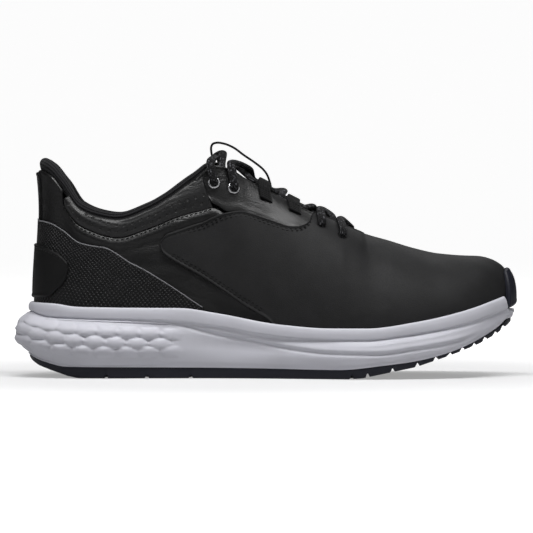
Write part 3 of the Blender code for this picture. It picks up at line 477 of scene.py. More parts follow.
def threadWeave():
    # Two crossing sets of threads with a few light ones; Slant turns it towards a herringbone. The colour is darkened
    # where the threads dip, as painted shade between them.
    tree, given, out = newGroup("threadWeave", [("Vector", "Vector", None), ("Pitch", "Float", 0.8), ("Slant", "Float", 0.0),
                                                ("Dark", "Color", None), ("Light", "Color", None),
                                                ("Flecks", "Float", 0.0)], [("Color", "Color"), ("Height", "Float")])
    split = node(tree, "SeparateXYZ", {0: given["Vector"]}).outputs
    each = calc(tree, "DIVIDE", 3.14159, given["Pitch"])
    lean = calc(tree, "MULTIPLY", calc(tree, "PINGPONG", split[1], 2.4), given["Slant"])
    along = calc(tree, "SINE", calc(tree, "MULTIPLY", calc(tree, "ADD", split[0], lean), each))
    over = calc(tree, "SINE", calc(tree, "MULTIPLY", split[1], each))
    threads = calc(tree, "ABSOLUTE", calc(tree, "MULTIPLY", along, over))
    strands = calc(tree, "SQRT", calc(tree, "ADD", threads, 0.001))
    cell = node(tree, "TexWhiteNoise", {"Vector": node(tree, "VectorMath", {
        0: node(tree, "VectorMath", {0: given["Vector"], 1: (1.1, 1.5, 1.0)}, operation="MULTIPLY").outputs[0]},
        operation="FLOOR").outputs[0]}, noise_dimensions="3D").outputs[0]
    fleck = calc(tree, "MULTIPLY", calc(tree, "GREATER_THAN", given["Flecks"], cell), strands)
    # Painted shade: the thread colour darkens where the thread height falls, between the threads.
    paintedThreadShade = calc(tree, "MULTIPLY_ADD", strands, 0.75, 0.25)
    base = node(tree, "VectorMath", {0: given["Dark"], "Scale": paintedThreadShade}, operation="SCALE").outputs[0]
    tree.links.new(mixed(tree, fleck, base, given["Light"]), out["Color"])
    tree.links.new(strands, out["Height"])
    return tree


def knitRibs():
    # Ribbed knit: rows of small loops across the pattern. The colour is lighter on the loop tops and darker in the
    # hollows between them, as painted shade, mixed with a random fuzz tone.
    tree, given, out = newGroup("knitRibs", [("Vector", "Vector", None), ("Pitch", "Float", 1.7), ("Dark", "Color", None),
                                             ("Light", "Color", None)], [("Color", "Color"), ("Height", "Float")])
    split = node(tree, "SeparateXYZ", {0: given["Vector"]}).outputs
    each = calc(tree, "DIVIDE", 3.14159, given["Pitch"])
    rib = calc(tree, "ABSOLUTE", calc(tree, "SINE", calc(tree, "MULTIPLY", split[0], each)))
    bend = calc(tree, "MULTIPLY_ADD", rib, 0.9, calc(tree, "MULTIPLY", split[1], 2.6))
    loops = calc(tree, "ABSOLUTE", calc(tree, "SINE", bend))
    height = calc(tree, "MULTIPLY_ADD", loops, 0.35, rib)
    fuzz = node(tree, "TexNoise", {"Vector": given["Vector"], "Scale": 2.4, "Detail": 3.0}).outputs[0]
    # Painted shade: the knit colour darkens in the hollows between the loops, mixed with a random fuzz tone.
    tone = calc(tree, "MULTIPLY", ramp(tree, height, 0.1, 1.3), calc(tree, "ADD", fuzz, 0.4))
    tree.links.new(mixed(tree, tone, given["Dark"], given["Light"]), out["Color"])
    tree.links.new(calc(tree, "MULTIPLY_ADD", fuzz, 0.3, height), out["Height"])
    return tree


def punchedRow():
    # One row of round punched dimples along the pattern.
    tree, given, out = newGroup("punchedRow", [("Vector", "Vector", None), ("Row", "Float", 3.0), ("Pitch", "Float", 5.0),
                                               ("Radius", "Float", 0.75), ("Shift", "Float", 0.0)], [("Mask", "Float")])
    split = node(tree, "SeparateXYZ", {0: given["Vector"]}).outputs
    place = calc(tree, "WRAP", calc(tree, "ADD", split[0], given["Shift"]), calc(tree, "MULTIPLY", given["Pitch"], 0.5),
                 calc(tree, "MULTIPLY", given["Pitch"], -0.5))
    across = calc(tree, "SUBTRACT", split[1], given["Row"])
    away = calc(tree, "SQRT", calc(tree, "ADD", calc(tree, "MULTIPLY", place, place),
                                   calc(tree, "MULTIPLY", across, across)))
    size = given["Radius"]
    result = node(tree, "MapRange", {"Value": away, "From Min": calc(tree, "MULTIPLY", size, 0.75),
                                     "From Max": calc(tree, "MULTIPLY", size, 1.2), "To Min": 1.0, "To Max": 0.0},
                  interpolation_type="SMOOTHSTEP").outputs["Result"]
    tree.links.new(result, out["Mask"])
    return tree


def dotLattice():
    # Raised dots in staggered rows with fine lines between them, as pressed into the heel wrap.
    tree, given, out = newGroup("dotLattice", [("Vector", "Vector", None), ("Pitch", "Float", 2.6)], [("Height", "Float")])
    split = node(tree, "SeparateXYZ", {0: given["Vector"]}).outputs
    each = calc(tree, "DIVIDE", 3.14159, given["Pitch"])
    first = calc(tree, "SINE", calc(tree, "MULTIPLY", calc(tree, "ADD", split[0], split[1]), each))
    second = calc(tree, "SINE", calc(tree, "MULTIPLY", calc(tree, "SUBTRACT", split[0], split[1]), each))
    dots = calc(tree, "ABSOLUTE", calc(tree, "MULTIPLY", first, second))
    tree.links.new(ramp(tree, dots, 0.08, 0.75), out["Height"])
    return tree


def handlingMarks():
    # Faint smudges and scuffs for moulded parts; the vector is in metres.
    tree, given, out = newGroup("handlingMarks", [("Vector", "Vector", None), ("Clean", "Color", None),
                                                  ("Marked", "Color", None)],
                                [("Color", "Color"), ("Height", "Float"), ("Mask", "Float")])
    slow = node(tree, "TexNoise", {"Vector": given["Vector"], "Scale": 34.0, "Detail": 5.0}).outputs[0]
    fine = node(tree, "TexNoise", {"Vector": given["Vector"], "Scale": 900.0, "Detail": 2.0}).outputs[0]
    mask = ramp(tree, slow, 0.46, 0.72)
    tree.links.new(mixed(tree, mask, given["Clean"], given["Marked"]), out["Color"])
    tree.links.new(fine, out["Height"])
    tree.links.new(mask, out["Mask"])
    return tree


grainGroup = hideGrain()
wrinkleGroup = softWrinkles()
weaveGroup = threadWeave()
knitGroup = knitRibs()
punchGroup = punchedRow()
latticeGroup = dotLattice()
marksGroup = handlingMarks()


def use(tree, group, inputs):
    made = tree.nodes.new("ShaderNodeGroup")
    made.node_tree = group
    for key, value in inputs.items():
        if isinstance(value, bpy.types.NodeSocket):
            tree.links.new(value, made.inputs[key])
        else:
            made.inputs[key].default_value = (*value, 1) if isinstance(value, tuple) and len(value) == 3 else value
    return made.outputs


def startLook(name, roughness, specular=0.5, sheen=0.0, coat=0.0, coatRoughness=0.3, metallic=0.0):
    look = bpy.data.materials.new(name)
    look.use_nodes = True
    tree = look.node_tree
    shader = tree.nodes["Principled BSDF"]
    shader.inputs["Roughness"].default_value = roughness
    shader.inputs["Specular IOR Level"].default_value = specular
    shader.inputs["Sheen Weight"].default_value = sheen
    shader.inputs["Coat Weight"].default_value = coat
    shader.inputs["Coat Roughness"].default_value = coatRoughness
    shader.inputs["Metallic"].default_value = metallic
    place = tree.nodes.new("ShaderNodeTexCoord").outputs["Object"]
    pattern = node(tree, "UVMap", uv_map="pattern").outputs["UV"]
    return look, tree, shader, place, pattern


def finishLook(tree, shader, color, height=None, distance=0.0002, strength=0.6, roughness=None):
    tree.links.new(color, shader.inputs["Base Color"])
    if height is not None:
        pressed = node(tree, "Bump", {"Height": height, "Distance": distance, "Strength": strength})
        tree.links.new(pressed.outputs[0], shader.inputs["Normal"])
    if roughness is not None:
        tree.links.new(roughness, shader.inputs["Roughness"])


finish = {
    "vampDark": (0.0105, 0.0105, 0.011), "vampLight": (0.013, 0.013, 0.0137),
    "quarterDark": (0.0022, 0.0022, 0.0025), "quarterLight": (0.0035, 0.0035, 0.0038),
    "collarDark": (0.003, 0.003, 0.0034), "collarLight": (0.005, 0.005, 0.0055),
    "wrapDark": (0.002, 0.002, 0.0023), "wrapLight": (0.006, 0.006, 0.0065),
    "knitDark": (0.003, 0.003, 0.0035), "knitLight": (0.022, 0.022, 0.024),
    "midsoleClean": (0.585, 0.585, 0.64), "midsoleMarked": (0.55, 0.55, 0.60),
    "rubberClean": (0.009, 0.010, 0.017), "rubberMarked": (0.015, 0.016, 0.024),
    "laceDark": (0.006, 0.006, 0.007), "laceLight": (0.10, 0.10, 0.11),
    "webDark": (0.003, 0.003, 0.0035), "webLight": (0.02, 0.02, 0.022),
}


def leatherLook(name, dark, light, roughness, size, depth, wrinkled=0.0, specular=0.5, sheen=0.0):
    look, tree, shader, place, pattern = startLook(name, roughness, specular, sheen)
    grain = use(tree, grainGroup, {"Vector": place, "Size": size, "Dark": dark, "Light": light})
    height = grain["Height"]
    if wrinkled:
        creases = use(tree, wrinkleGroup, {"Vector": pattern, "Spacing": 1.7})
        height = calc(tree, "MULTIPLY_ADD", creases["Height"], wrinkled, height)
    worn = calc(tree, "MULTIPLY_ADD", height, 0.12, roughness - 0.06)
    finishLook(tree, shader, grain["Color"], height, depth, 0.5, worn)
    return look


def perforatedLook(name, rows):
    look, tree, shader, place, pattern = startLook(name, 0.42, 0.5)
    grain = use(tree, grainGroup, {"Vector": place, "Size": 0.8, "Dark": finish["collarDark"],
                                   "Light": finish["collarLight"]})
    ribs = use(tree, wrinkleGroup, {"Vector": pattern, "Spacing": 1.1})
    mask = 0.0
    for row, shift in rows:
        mask = calc(tree, "MAXIMUM", mask, use(tree, punchGroup, {"Vector": pattern, "Row": row, "Shift": shift,
                                                                  "Pitch": 5.2, "Radius": 0.85})["Mask"])
    soft = calc(tree, "MULTIPLY_ADD", ribs["Height"], 0.6, calc(tree, "MULTIPLY", grain["Height"], 0.5))
    height = calc(tree, "MULTIPLY_ADD", mask, -3.0, soft)
    # Painted shade: the punched holes are coloured near black, standing in for the shade inside them.
    color = mixed(tree, mask, grain["Color"], (0.0008, 0.0008, 0.0008, 1))
    finishLook(tree, shader, color, height, 0.0002, 0.6, calc(tree, "MULTIPLY_ADD", mask, 0.35, 0.44))
    return look


def latticeLook(name):
    look, tree, shader, place, pattern = startLook(name, 0.4, 0.3)
    dots = use(tree, latticeGroup, {"Vector": pattern, "Pitch": 2.6})["Height"]
    grain = use(tree, grainGroup, {"Vector": place, "Size": 0.5, "Dark": finish["wrapDark"], "Light": finish["wrapLight"]})
    # Painted shade: the grooves between the raised dots are coloured darker than the dot tops.
    color = mixed(tree, calc(tree, "MULTIPLY", dots, 0.75), (0.0025, 0.0025, 0.003, 1), grain["Color"])
    height = calc(tree, "MULTIPLY_ADD", grain["Height"], 0.08, dots)
    finishLook(tree, shader, color, height, 0.00045, 0.9, calc(tree, "MULTIPLY_ADD", dots, -0.15, 0.5))
    return look


def knitLook(name, pitch=1.7, light=None):
    look, tree, shader, place, pattern = startLook(name, 0.92, 0.15, 0.05)
    knit = use(tree, knitGroup, {"Vector": pattern, "Pitch": pitch, "Dark": finish["knitDark"],
                                 "Light": light or finish["knitLight"]})
    finishLook(tree, shader, knit["Color"], knit["Height"], 0.0005, 0.9)
    return look


def wovenLook(name, dark, light, pitch, slant, flecks, depth=0.0004):
    look, tree, shader, place, pattern = startLook(name, 0.8, 0.2, 0.05)
    weave = use(tree, weaveGroup, {"Vector": pattern, "Pitch": pitch, "Slant": slant, "Dark": dark, "Light": light,
                                   "Flecks": flecks})
    finishLook(tree, shader, weave["Color"], weave["Height"], depth, 0.9)
    return look


def mouldedLook(name, clean, marked, roughness, depth):
    look, tree, shader, place, pattern = startLook(name, roughness, 0.3)
    marks = use(tree, marksGroup, {"Vector": place, "Clean": clean, "Marked": marked})
    finishLook(tree, shader, marks["Color"], marks["Height"], depth, 0.4,
               calc(tree, "MULTIPLY_ADD", marks["Mask"], 0.14, roughness))
    return look


def metalLook(name):
    look, tree, shader, place, pattern = startLook(name, 0.24, 0.5, metallic=1.0)
    marks = use(tree, marksGroup, {"Vector": place, "Clean": (0.62, 0.62, 0.64), "Marked": (0.42, 0.42, 0.44)})
    finishLook(tree, shader, marks["Color"], marks["Height"], 0.00003, 0.3,
               calc(tree, "MULTIPLY_ADD", marks["Mask"], 0.2, 0.22))
    return look


vampHide = leatherLook("charcoalVamp", finish["vampDark"], finish["vampLight"], 0.62, 0.7, 0.00010, specular=0.24)
quarterHide = leatherLook("glossyQuarter", finish["quarterDark"], finish["quarterLight"], 0.33, 0.75, 0.00016, 1.1, specular=0.42)
collarHide = perforatedLook("perforatedCollar", ((4.3, 0.0), (8.6, 2.6)))
patchHide = leatherLook("smoothPatch", finish["quarterDark"], finish["quarterLight"], 0.5, 0.5, 0.00006, specular=0.25)
wrapFilm = latticeLook("embossedWrap")
edgeTrim = mouldedLook("greyEdgeTrim", (0.16, 0.16, 0.17), (0.11, 0.11, 0.12), 0.5, 0.00004)
collarKnit = knitLook("collarKnit", 1.8)
liningKnit = knitLook("liningKnit", 1.4, (0.03, 0.03, 0.033))
midsoleFoam = mouldedLook("paleMidsole", finish["midsoleClean"], finish["midsoleMarked"], 0.5, 0.00005)
navyRubber = mouldedLook("navyRubber", finish["rubberClean"], finish["rubberMarked"], 0.48, 0.00006)
laceYarn = wovenLook("laceYarn", finish["laceDark"], finish["laceLight"], 1.5, 1.0, 0.2, 0.0006)
webbingYarn = wovenLook("webbingYarn", finish["webDark"], finish["webLight"], 0.9, 0.0, 0.06)
seamThread = wovenLook("seamThread", (0.02, 0.02, 0.021), (0.05, 0.05, 0.052), 0.6, 1.0, 0.1, 0.0002)
agletFilm = mouldedLook("agletFilm", (0.01, 0.01, 0.011), (0.02, 0.02, 0.021), 0.3, 0.00002)
silverRim = metalLook("silverRim")
footbedFoam = mouldedLook("footbedFoam", (0.30, 0.30, 0.31), (0.24, 0.24, 0.25), 0.85, 0.0001)
fibreBoard = mouldedLook("fibreBoard", (0.42, 0.39, 0.33), (0.34, 0.31, 0.26), 0.8, 0.0001)


# Upper, outer panels. Depths are millimetres from the surface of the upper.
shell = {"baseOuter": 0.0, "baseInner": -1.2, "overlayOuter": 1.8, "overlayInner": 0.6, "patchOuter": 3.0, "patchInner": 1.9,
         "facingInner": -2.4, "edgeT": 0.995}
wingUpper = [(-57.8, 85.6), (-46, 89.6), (-34.8, 93.3), (-22.4, 98.0), (-15, 98.9), (-5, 96.2), (11.5, 90.3),
             (19.2, 89.5), (25.5, 91.8)]
wingLower = [(-61.5, 75), (-57.5, 71), (-34.8, 57.9), (-14.7, 44.1), (1, 34.5)]
collarLower = [(-120.6, 106.0), (-119.2, 100.4), (-105.4, 87.2), (-88.8, 82.6), (-71.8, 86.8), (-57.4, 92.6),
               (-43, 97.5), (-30.6, 101.0)]
quarterUpper = [(-120.4, 104.5), (-118.6, 100.6), (-104.8, 87.8), (-88.8, 83.2), (-72.2, 87.4), (-58, 93.2),
                (-43.2, 98.1), (-32.2, 101.2), (-20, 96.2), (0, 91.2), (14, 86.4), (23, 83.2)]
facingLower = [(-31.6, 103.2), (-20, 97.4), (0, 92.4), (14, 87.6), (23, 84.6), (31, 82)]
wrapUpper = [(-132.5, 92.8), (-123, 89.3), (-96.6, 77.3), (-77.7, 67), (-60.6, 57.3), (-43.8, 46.5), (-37, 42)]
patchUpper = [(-134.5, 78.6), (-129.6, 77), (-121, 72.6), (-116.6, 68)]
patchLower = [(-134.5, 47), (-127.2, 47.5), (-123.4, 51), (-118.2, 56.5), (-115.9, 63)]

print("vamp")
vampPiece = {"columns": 170, "rows": 46, "piping": 0.45, "crease": 0.35}
wingTip = locate(-62.5, 79.8)
throatRun = [topNear(x) for x in (30, 38, 46, 53, 57.5)]
ridgeRun = [(throatEnd, 1.0)] + [topNear(x) for x in (73, 88, 104, 119, 130, 138)] + [(1.0, 1.0)]
vampUpper = trace([wingTip] + [locate(x, z) for x, z in wingUpper] + throatRun + ridgeRun)
featherRun = [(float(stationOf(x)), 0.0) for x in (12, 35, 60, 85, 105, 120, 133, 142)] + [(1.0, 0.0)]
vampLower = trace([wingTip] + [locate(x, z) for x, z in wingLower] + featherRun)


def vampRelief(s, t, run, fromLow, fromHigh):
    # Slow flex creases over the toes.
    waves = np.sin(run * 0.16 + t * 5) * np.sin(t * 7 + run * 0.03)
    return vampPiece["crease"] * waves * smooth(t, 0.1, 0.5) * (1 - smooth(t, 0.85, 1))


def vampInner(s, t):
    # The panel turns down against the sole, and lies on the quarter behind.
    return shell["overlayInner"] - 1.4 * smooth(s, 0.62, 0.68)


vamp = leatherPanel("vampUpper", vampHide, vampLower, vampUpper, vampPiece["columns"], vampPiece["rows"],
                    shell["overlayOuter"], vampInner, centre=1, relief=vampRelief, piping=vampPiece["piping"])

print("quarters, collar panels and eyestays")
heelTop = [(0.004, 0.985), (0.06, 0.985), (0.12, 0.985), (0.165, 0.965)]
quarterTop = trace(heelTop + [locate(x, z) for x, z in quarterUpper])
quarterLow = trace([(0.004, 0.0)] + [(float(stationOf(x)), 0.0) for x in (-130, -110, -80, -50, -20, 8, 26)])
collarTop = trace([(s, shell["edgeT"]) for s in (0.186, 0.23, 0.3, 0.36, 0.4, 0.436)])
collarLow = sideTrace(collarLower)
facingTop = trace([topNear(-42.6)] + [topNear(x) for x in (-36, -29.4, -21, -12, 3, 14, 23.5, 31)])
facingLow = sideTrace(facingLower)


def quarterRelief(s, t, run, fromLow, fromHigh):
    # Padding swells below the collar seam and dies away towards the sole, with a few soft folds.
    swellUp = 1.1 * bump(fromHigh, 4.5, 3.2) * smooth(s, 0.16, 0.22)
    folds = 0.35 * np.sin(fromLow * 0.42 + np.sin(run * 0.05) * 1.5) * smooth(fromHigh, 4, 14) * smooth(fromLow, 4, 12)
    return swellUp + folds * smooth(s, 0.2, 0.4)


def collarRelief(s, t, run, fromLow, fromHigh):
    height = fromLow + fromHigh
    return 1.5 * np.sin(np.clip(fromLow / np.maximum(height, 1), 0, 1) * math.pi) + 0.12 * np.sin(fromLow * 2.2)


def facingRelief(s, t, run, fromLow, fromHigh):
    return 0.5 * bump(fromLow, 3.0, 2.0) + 0.3 * bump(fromHigh, 2.0, 1.2)


for side in ("lateral", "medial"):
    quarter = leatherPanel("quarterPanel_" + side, quarterHide, quarterLow, quarterTop, 130, 40, shell["baseOuter"],
                           shell["baseInner"], side=side, relief=quarterRelief, radius=0.8)
    collar = leatherPanel("collarPad_" + side, collarHide, collarLow, collarTop, 100, 22, shell["baseOuter"],
                          shell["baseInner"] - 0.6, side=side, relief=collarRelief, radius=1.2)
    facing = leatherPanel("eyestayPanel_" + side, quarterHide, facingLow, facingTop, 110, 24, shell["baseOuter"] + 0.2,
                          shell["facingInner"], side=side, relief=facingRelief, piping=0.25)
    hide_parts("quarter_" + side)
    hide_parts("collar_panel_" + side)
    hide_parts("eyestay_" + side)
# The side below the end of the throat is eased, so that the leather runs over it without a line.
easing = bmesh.new()
easing.from_mesh(vamp.data)
soft = [vert for vert in easing.verts if abs(vert.co.x - 60 * mm) < 13 * mm and vert.co.z < 79 * mm and vert.co.z > 40 * mm]
for _ in range(24):
    bmesh.ops.smooth_vert(easing, verts=soft, factor=0.5, use_axis_x=True, use_axis_y=True, use_axis_z=True)
easing.to_mesh(vamp.data)
easing.free()
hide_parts("vamp")

print("heel wrap, patch and back strip")
wrapTop = trace([(0.0, locate(-136, 93.9)[1])] + [locate(x, z) for x, z in wrapUpper])
wrapLow = trace([(float(stationOf(x)), 0.0) for x in (-137, -134, -125, -105, -80, -55, -38)])
heelWrap = leatherPanel("heelWrapFilm", wrapFilm, wrapLow, wrapTop, 110, 26, shell["overlayOuter"], shell["overlayInner"],
                        centre=0, radius=0.6, piping=0.0)
patchTop = trace([(0.0, locate(-136, 79.3)[1])] + [locate(x, z) for x, z in patchUpper])
patchLow = trace([(0.0, locate(-136, 46.5)[1])] + [locate(x, z) for x, z in patchLower])
heelPatch = leatherPanel("heelShield", patchHide, patchLow, patchTop, 34, 30, shell["patchOuter"], shell["patchInner"],
                         centre=0, radius=1.1, piping=0.3)
stripTop = trace([(0, 0.975), (0.03, 0.975), (0.055, 0.96)])
stripLow = trace([(0, 0.56), (0.03, 0.56), (0.04, 0.57)])
backStrip = leatherPanel("backSeamStrip", quarterHide, stripLow, stripTop, 12, 30, 1.3, -0.4, centre=0, radius=0.7,
                         piping=0.2)
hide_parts("heel_wrap")
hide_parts("heel_patch")
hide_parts("back_strip")


def edgeCord(name, look, line, depth, radius, span=(0.0, 1.0)):
    # Thin rounded trim along the edge of a panel, the same on both sides of the heel.
    bm = bmesh.new()
    part = flatGrid(240, 6, thick=False)

    def place(u, v, w):
        q = span[0] + (span[1] - span[0]) * np.abs(2 * u - 1)
        spot = line(q)
        s = np.where(u > 0.5, -spot[:, 0], spot[:, 0])
        normal = upperNormal(s, spot[:, 1])
        up = np.array([0.0, 0.0, 1.0])
        angle = 2 * math.pi * v
        middle = skinAt(s, spot[:, 1], np.full(len(s), depth))
        return middle + (normal * np.cos(angle)[:, None] + up * np.sin(angle)[:, None]) * radius

    wrapGrid(part, place)
    bmesh.ops.remove_doubles(part, verts=part.verts[:], dist=0.00001)
    bmesh.ops.holes_fill(part, edges=part.edges[:], sides=0)
    joinInto(bm, part)
    return finishPiece(name, bm, look)


edgeCord("heelWrapTrim", edgeTrim, wrapTop, 1.5, 0.45)

print("stitching")


def insetLine(line, across, inset):
    # A path a few millimetres inside a panel's edge, towards its other edge.
    grid = np.linspace(0.012, 0.985, 160)
    edge = line(grid)
    other = across(grid)
    height = np.linalg.norm(upperSurface(edge[:, 0], edge[:, 1]) - upperSurface(other[:, 0], other[:, 1]), axis=1)
    share = np.clip(inset / np.maximum(height, 0.1), 0, 0.5)[:, None]
    return trace(edge + (other - edge) * share)


def clipped(line, start, end):
    return lambda q: line(start + (end - start) * np.atleast_1d(q))


stitchInset = {"first": 2.7, "second": 4.3}
for number, inset in enumerate(stitchInset.values()):
    upperRow = clipped(insetLine(vampUpper, vampLower, inset), 0.03, 0.44)
    lowerRow = clipped(insetLine(vampLower, vampUpper, inset), 0.03, 0.3)
    stitchRow("wingStitchTop_%d" % number, seamThread, upperRow, shell["overlayOuter"] - 0.05)
    stitchRow("wingStitchLow_%d" % number, seamThread, lowerRow, shell["overlayOuter"] - 0.05)
stitchRow("collarStitch", seamThread, clipped(insetLine(quarterTop, quarterLow, 1.6), 0.18, 0.72), 0.55)
stitchRow("eyestayStitch", seamThread, insetLine(facingTop, facingLow, 2.0), 0.35, pitch=2.6)
stitchRow("facingEndStitch", seamThread, sideTrace([(-43.2, 115.5), (-37, 110.6), (-31.8, 105)]), 0.4, pitch=2.2)
stitchRow("patchStitch", seamThread, clipped(insetLine(patchTop, patchLow, 2.2), 0.05, 0.95), shell["patchOuter"],
          pitch=2.4)

print("collar roll and lining")
rollPiece = {"columns": 260, "rows": 22, "last": 0.445, "ribEvery": 3.0, "rib": 0.14}


def collarRoll():
    bm = flatGrid(rollPiece["columns"], rollPiece["rows"], thick=False)
    last = rollPiece["last"]
    centreIn = curveThrough([(0, 4.7), (0.4, 4.7), (0.43, 6.6), (last, 6.6)])
    lift = curveThrough([(0, 2.4), (0.12, 1.6), (0.2, 0.5), (last, 0.5)])
    size = curveThrough([(0, 3.5), (0.15, 3.3), (0.2, 3.2), (0.42, 3.1), (last, 2.6)])
    grid = np.linspace(0, last, 300)
    line = upperSurface(grid, np.ones(300))
    run = np.concatenate([[0], np.cumsum(np.linalg.norm(np.diff(line, axis=0), axis=1))])

    def place(u, v, w):
        a = np.abs(2 * u - 1) * last
        s = np.where(u > 0.5, -a, a)
        normal = upperNormal(s, np.full(len(u), 0.985))
        normal[:, 2] = 0
        normal /= np.linalg.norm(normal, axis=1)[:, None]
        centre = upperSurface(s, np.ones(len(u))) - normal * centreIn(a)[:, None]
        centre[:, 2] += lift(a)
        angle = 2 * math.pi * v
        ribs = rollPiece["rib"] * np.sin(angle * 11)
        closing = smooth(a, last - 0.006, last)
        radius = (size(a) + ribs) * np.sqrt(np.clip(1 - closing ** 2, 0.0, 1))
        drop = 1.0 + 1.1 * np.clip(-np.sin(angle), 0, 1)
        up = np.array([0.0, 0.0, 1.0])
        return centre + normal * (np.cos(angle) * radius)[:, None] + up * (np.sin(angle) * radius * drop)[:, None]

    def spread(u, v):
        return np.column_stack([v * 20.0, np.interp(np.abs(2 * u - 1) * last, grid, run)])

    wrapGrid(bm, place, spread)
    bmesh.ops.remove_doubles(bm, verts=bm.verts[:], dist=0.00001)
    bmesh.ops.holes_fill(bm, edges=bm.edges[:], sides=0)
    return finishPiece("collarRollKnit", bm, collarKnit, sharp=180)


roll = collarRoll()
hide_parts("collar_roll", "collar_foam")


def liningPad(s, t):
    a, _ = foldOf(s)
    return 4.2 * smooth(t, 0.55, 0.8) * np.clip((0.43 - a) / 0.05, 0, 1)


liningTop = trace([(0, 0.925), (0.1, 0.925), (0.2, 0.915), (0.3, 0.915), (0.38, 0.905), (0.42, 0.85), (0.45, 0.7), (0.5, 0.58)])
liningLow = trace([(s, 0.04) for s in (0, 0.1, 0.2, 0.3, 0.4, 0.5)])
lining = leatherPanel("quarterLiningKnit", liningKnit, liningLow, liningTop, 90, 30, lambda s, t: -3.4 - liningPad(s, t),
                      lambda s, t: -4.3 - liningPad(s, t), centre=0, radius=0.4)
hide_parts("quarter_lining")
toeLiningLow = trace([(s, 0.04) for s in (0.53, 0.65, 0.75, 0.85, 0.93, 1)])
toeLiningTop = trace([(0.53, 0.42), (0.58, 0.5), (0.625, 0.6), (0.65, 0.8), (0.672, 1), (0.72, 1), (0.78, 1), (0.85, 1),
                      (0.92, 1), (1, 1)])
toeLining = leatherPanel("vampLiningKnit", liningKnit, toeLiningLow, toeLiningTop, 60, 20, -2.4, -3.2, centre=1, radius=0.4)
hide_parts("vamp_lining")


print("midsole")
midsolePiece = {"columns": 640, "wallRows": 84, "toeRimDrop": 9.0, "floorDrop": 1.2, "rimOut": 4.6,
                "scaleHeight": 2.7, "scaleLength": 6.2, "scaleWidth": 3.6, "creaseDepth": 0.9, "scoopDepth": 1.6}
scaleRows = [
    [(-137.4, 33.4), (-128.6, 31.0), (-117.6, 29.6), (-106.2, 28.4), (-93.7, 27.8), (-80.9, 27.1), (-68.5, 26.6), (-54.7, 26)],
    [(-143.8, 28.6), (-135.5, 26.4), (-124.5, 24.8), (-113.5, 22.9), (-100.6, 22), (-88.7, 21.3), (-75.8, 20.7), (-62, 20.4)],
    [(-145.6, 21.8), (-134.2, 19.2), (-121.3, 17), (-108, 16), (-95.1, 15.8), (-81.3, 15.8), (-68.5, 15.8), (-55.5, 15.8)]]


def scaleRelief(x, z, y):
    # Pillowy long hexagons in three staggered rows, which fade towards the waist of the shoe.
    raised = np.zeros(len(x))
    for row in scaleRows:
        for middleX, middleZ in row:
            across = np.abs(x - middleX) / midsolePiece["scaleLength"]
            up = np.abs(z - middleZ) / midsolePiece["scaleWidth"]
            away = np.maximum(up, across * 0.78 + up * 0.42)
            raised = np.maximum(raised, np.sqrt(np.clip(1 - away * away, 0.04, 1)))
    fade = 1 - smooth(x, -66, -44)
    return (raised - 0.72) * midsolePiece["scaleHeight"] * fade * bump(z, 24.0, 15.0)


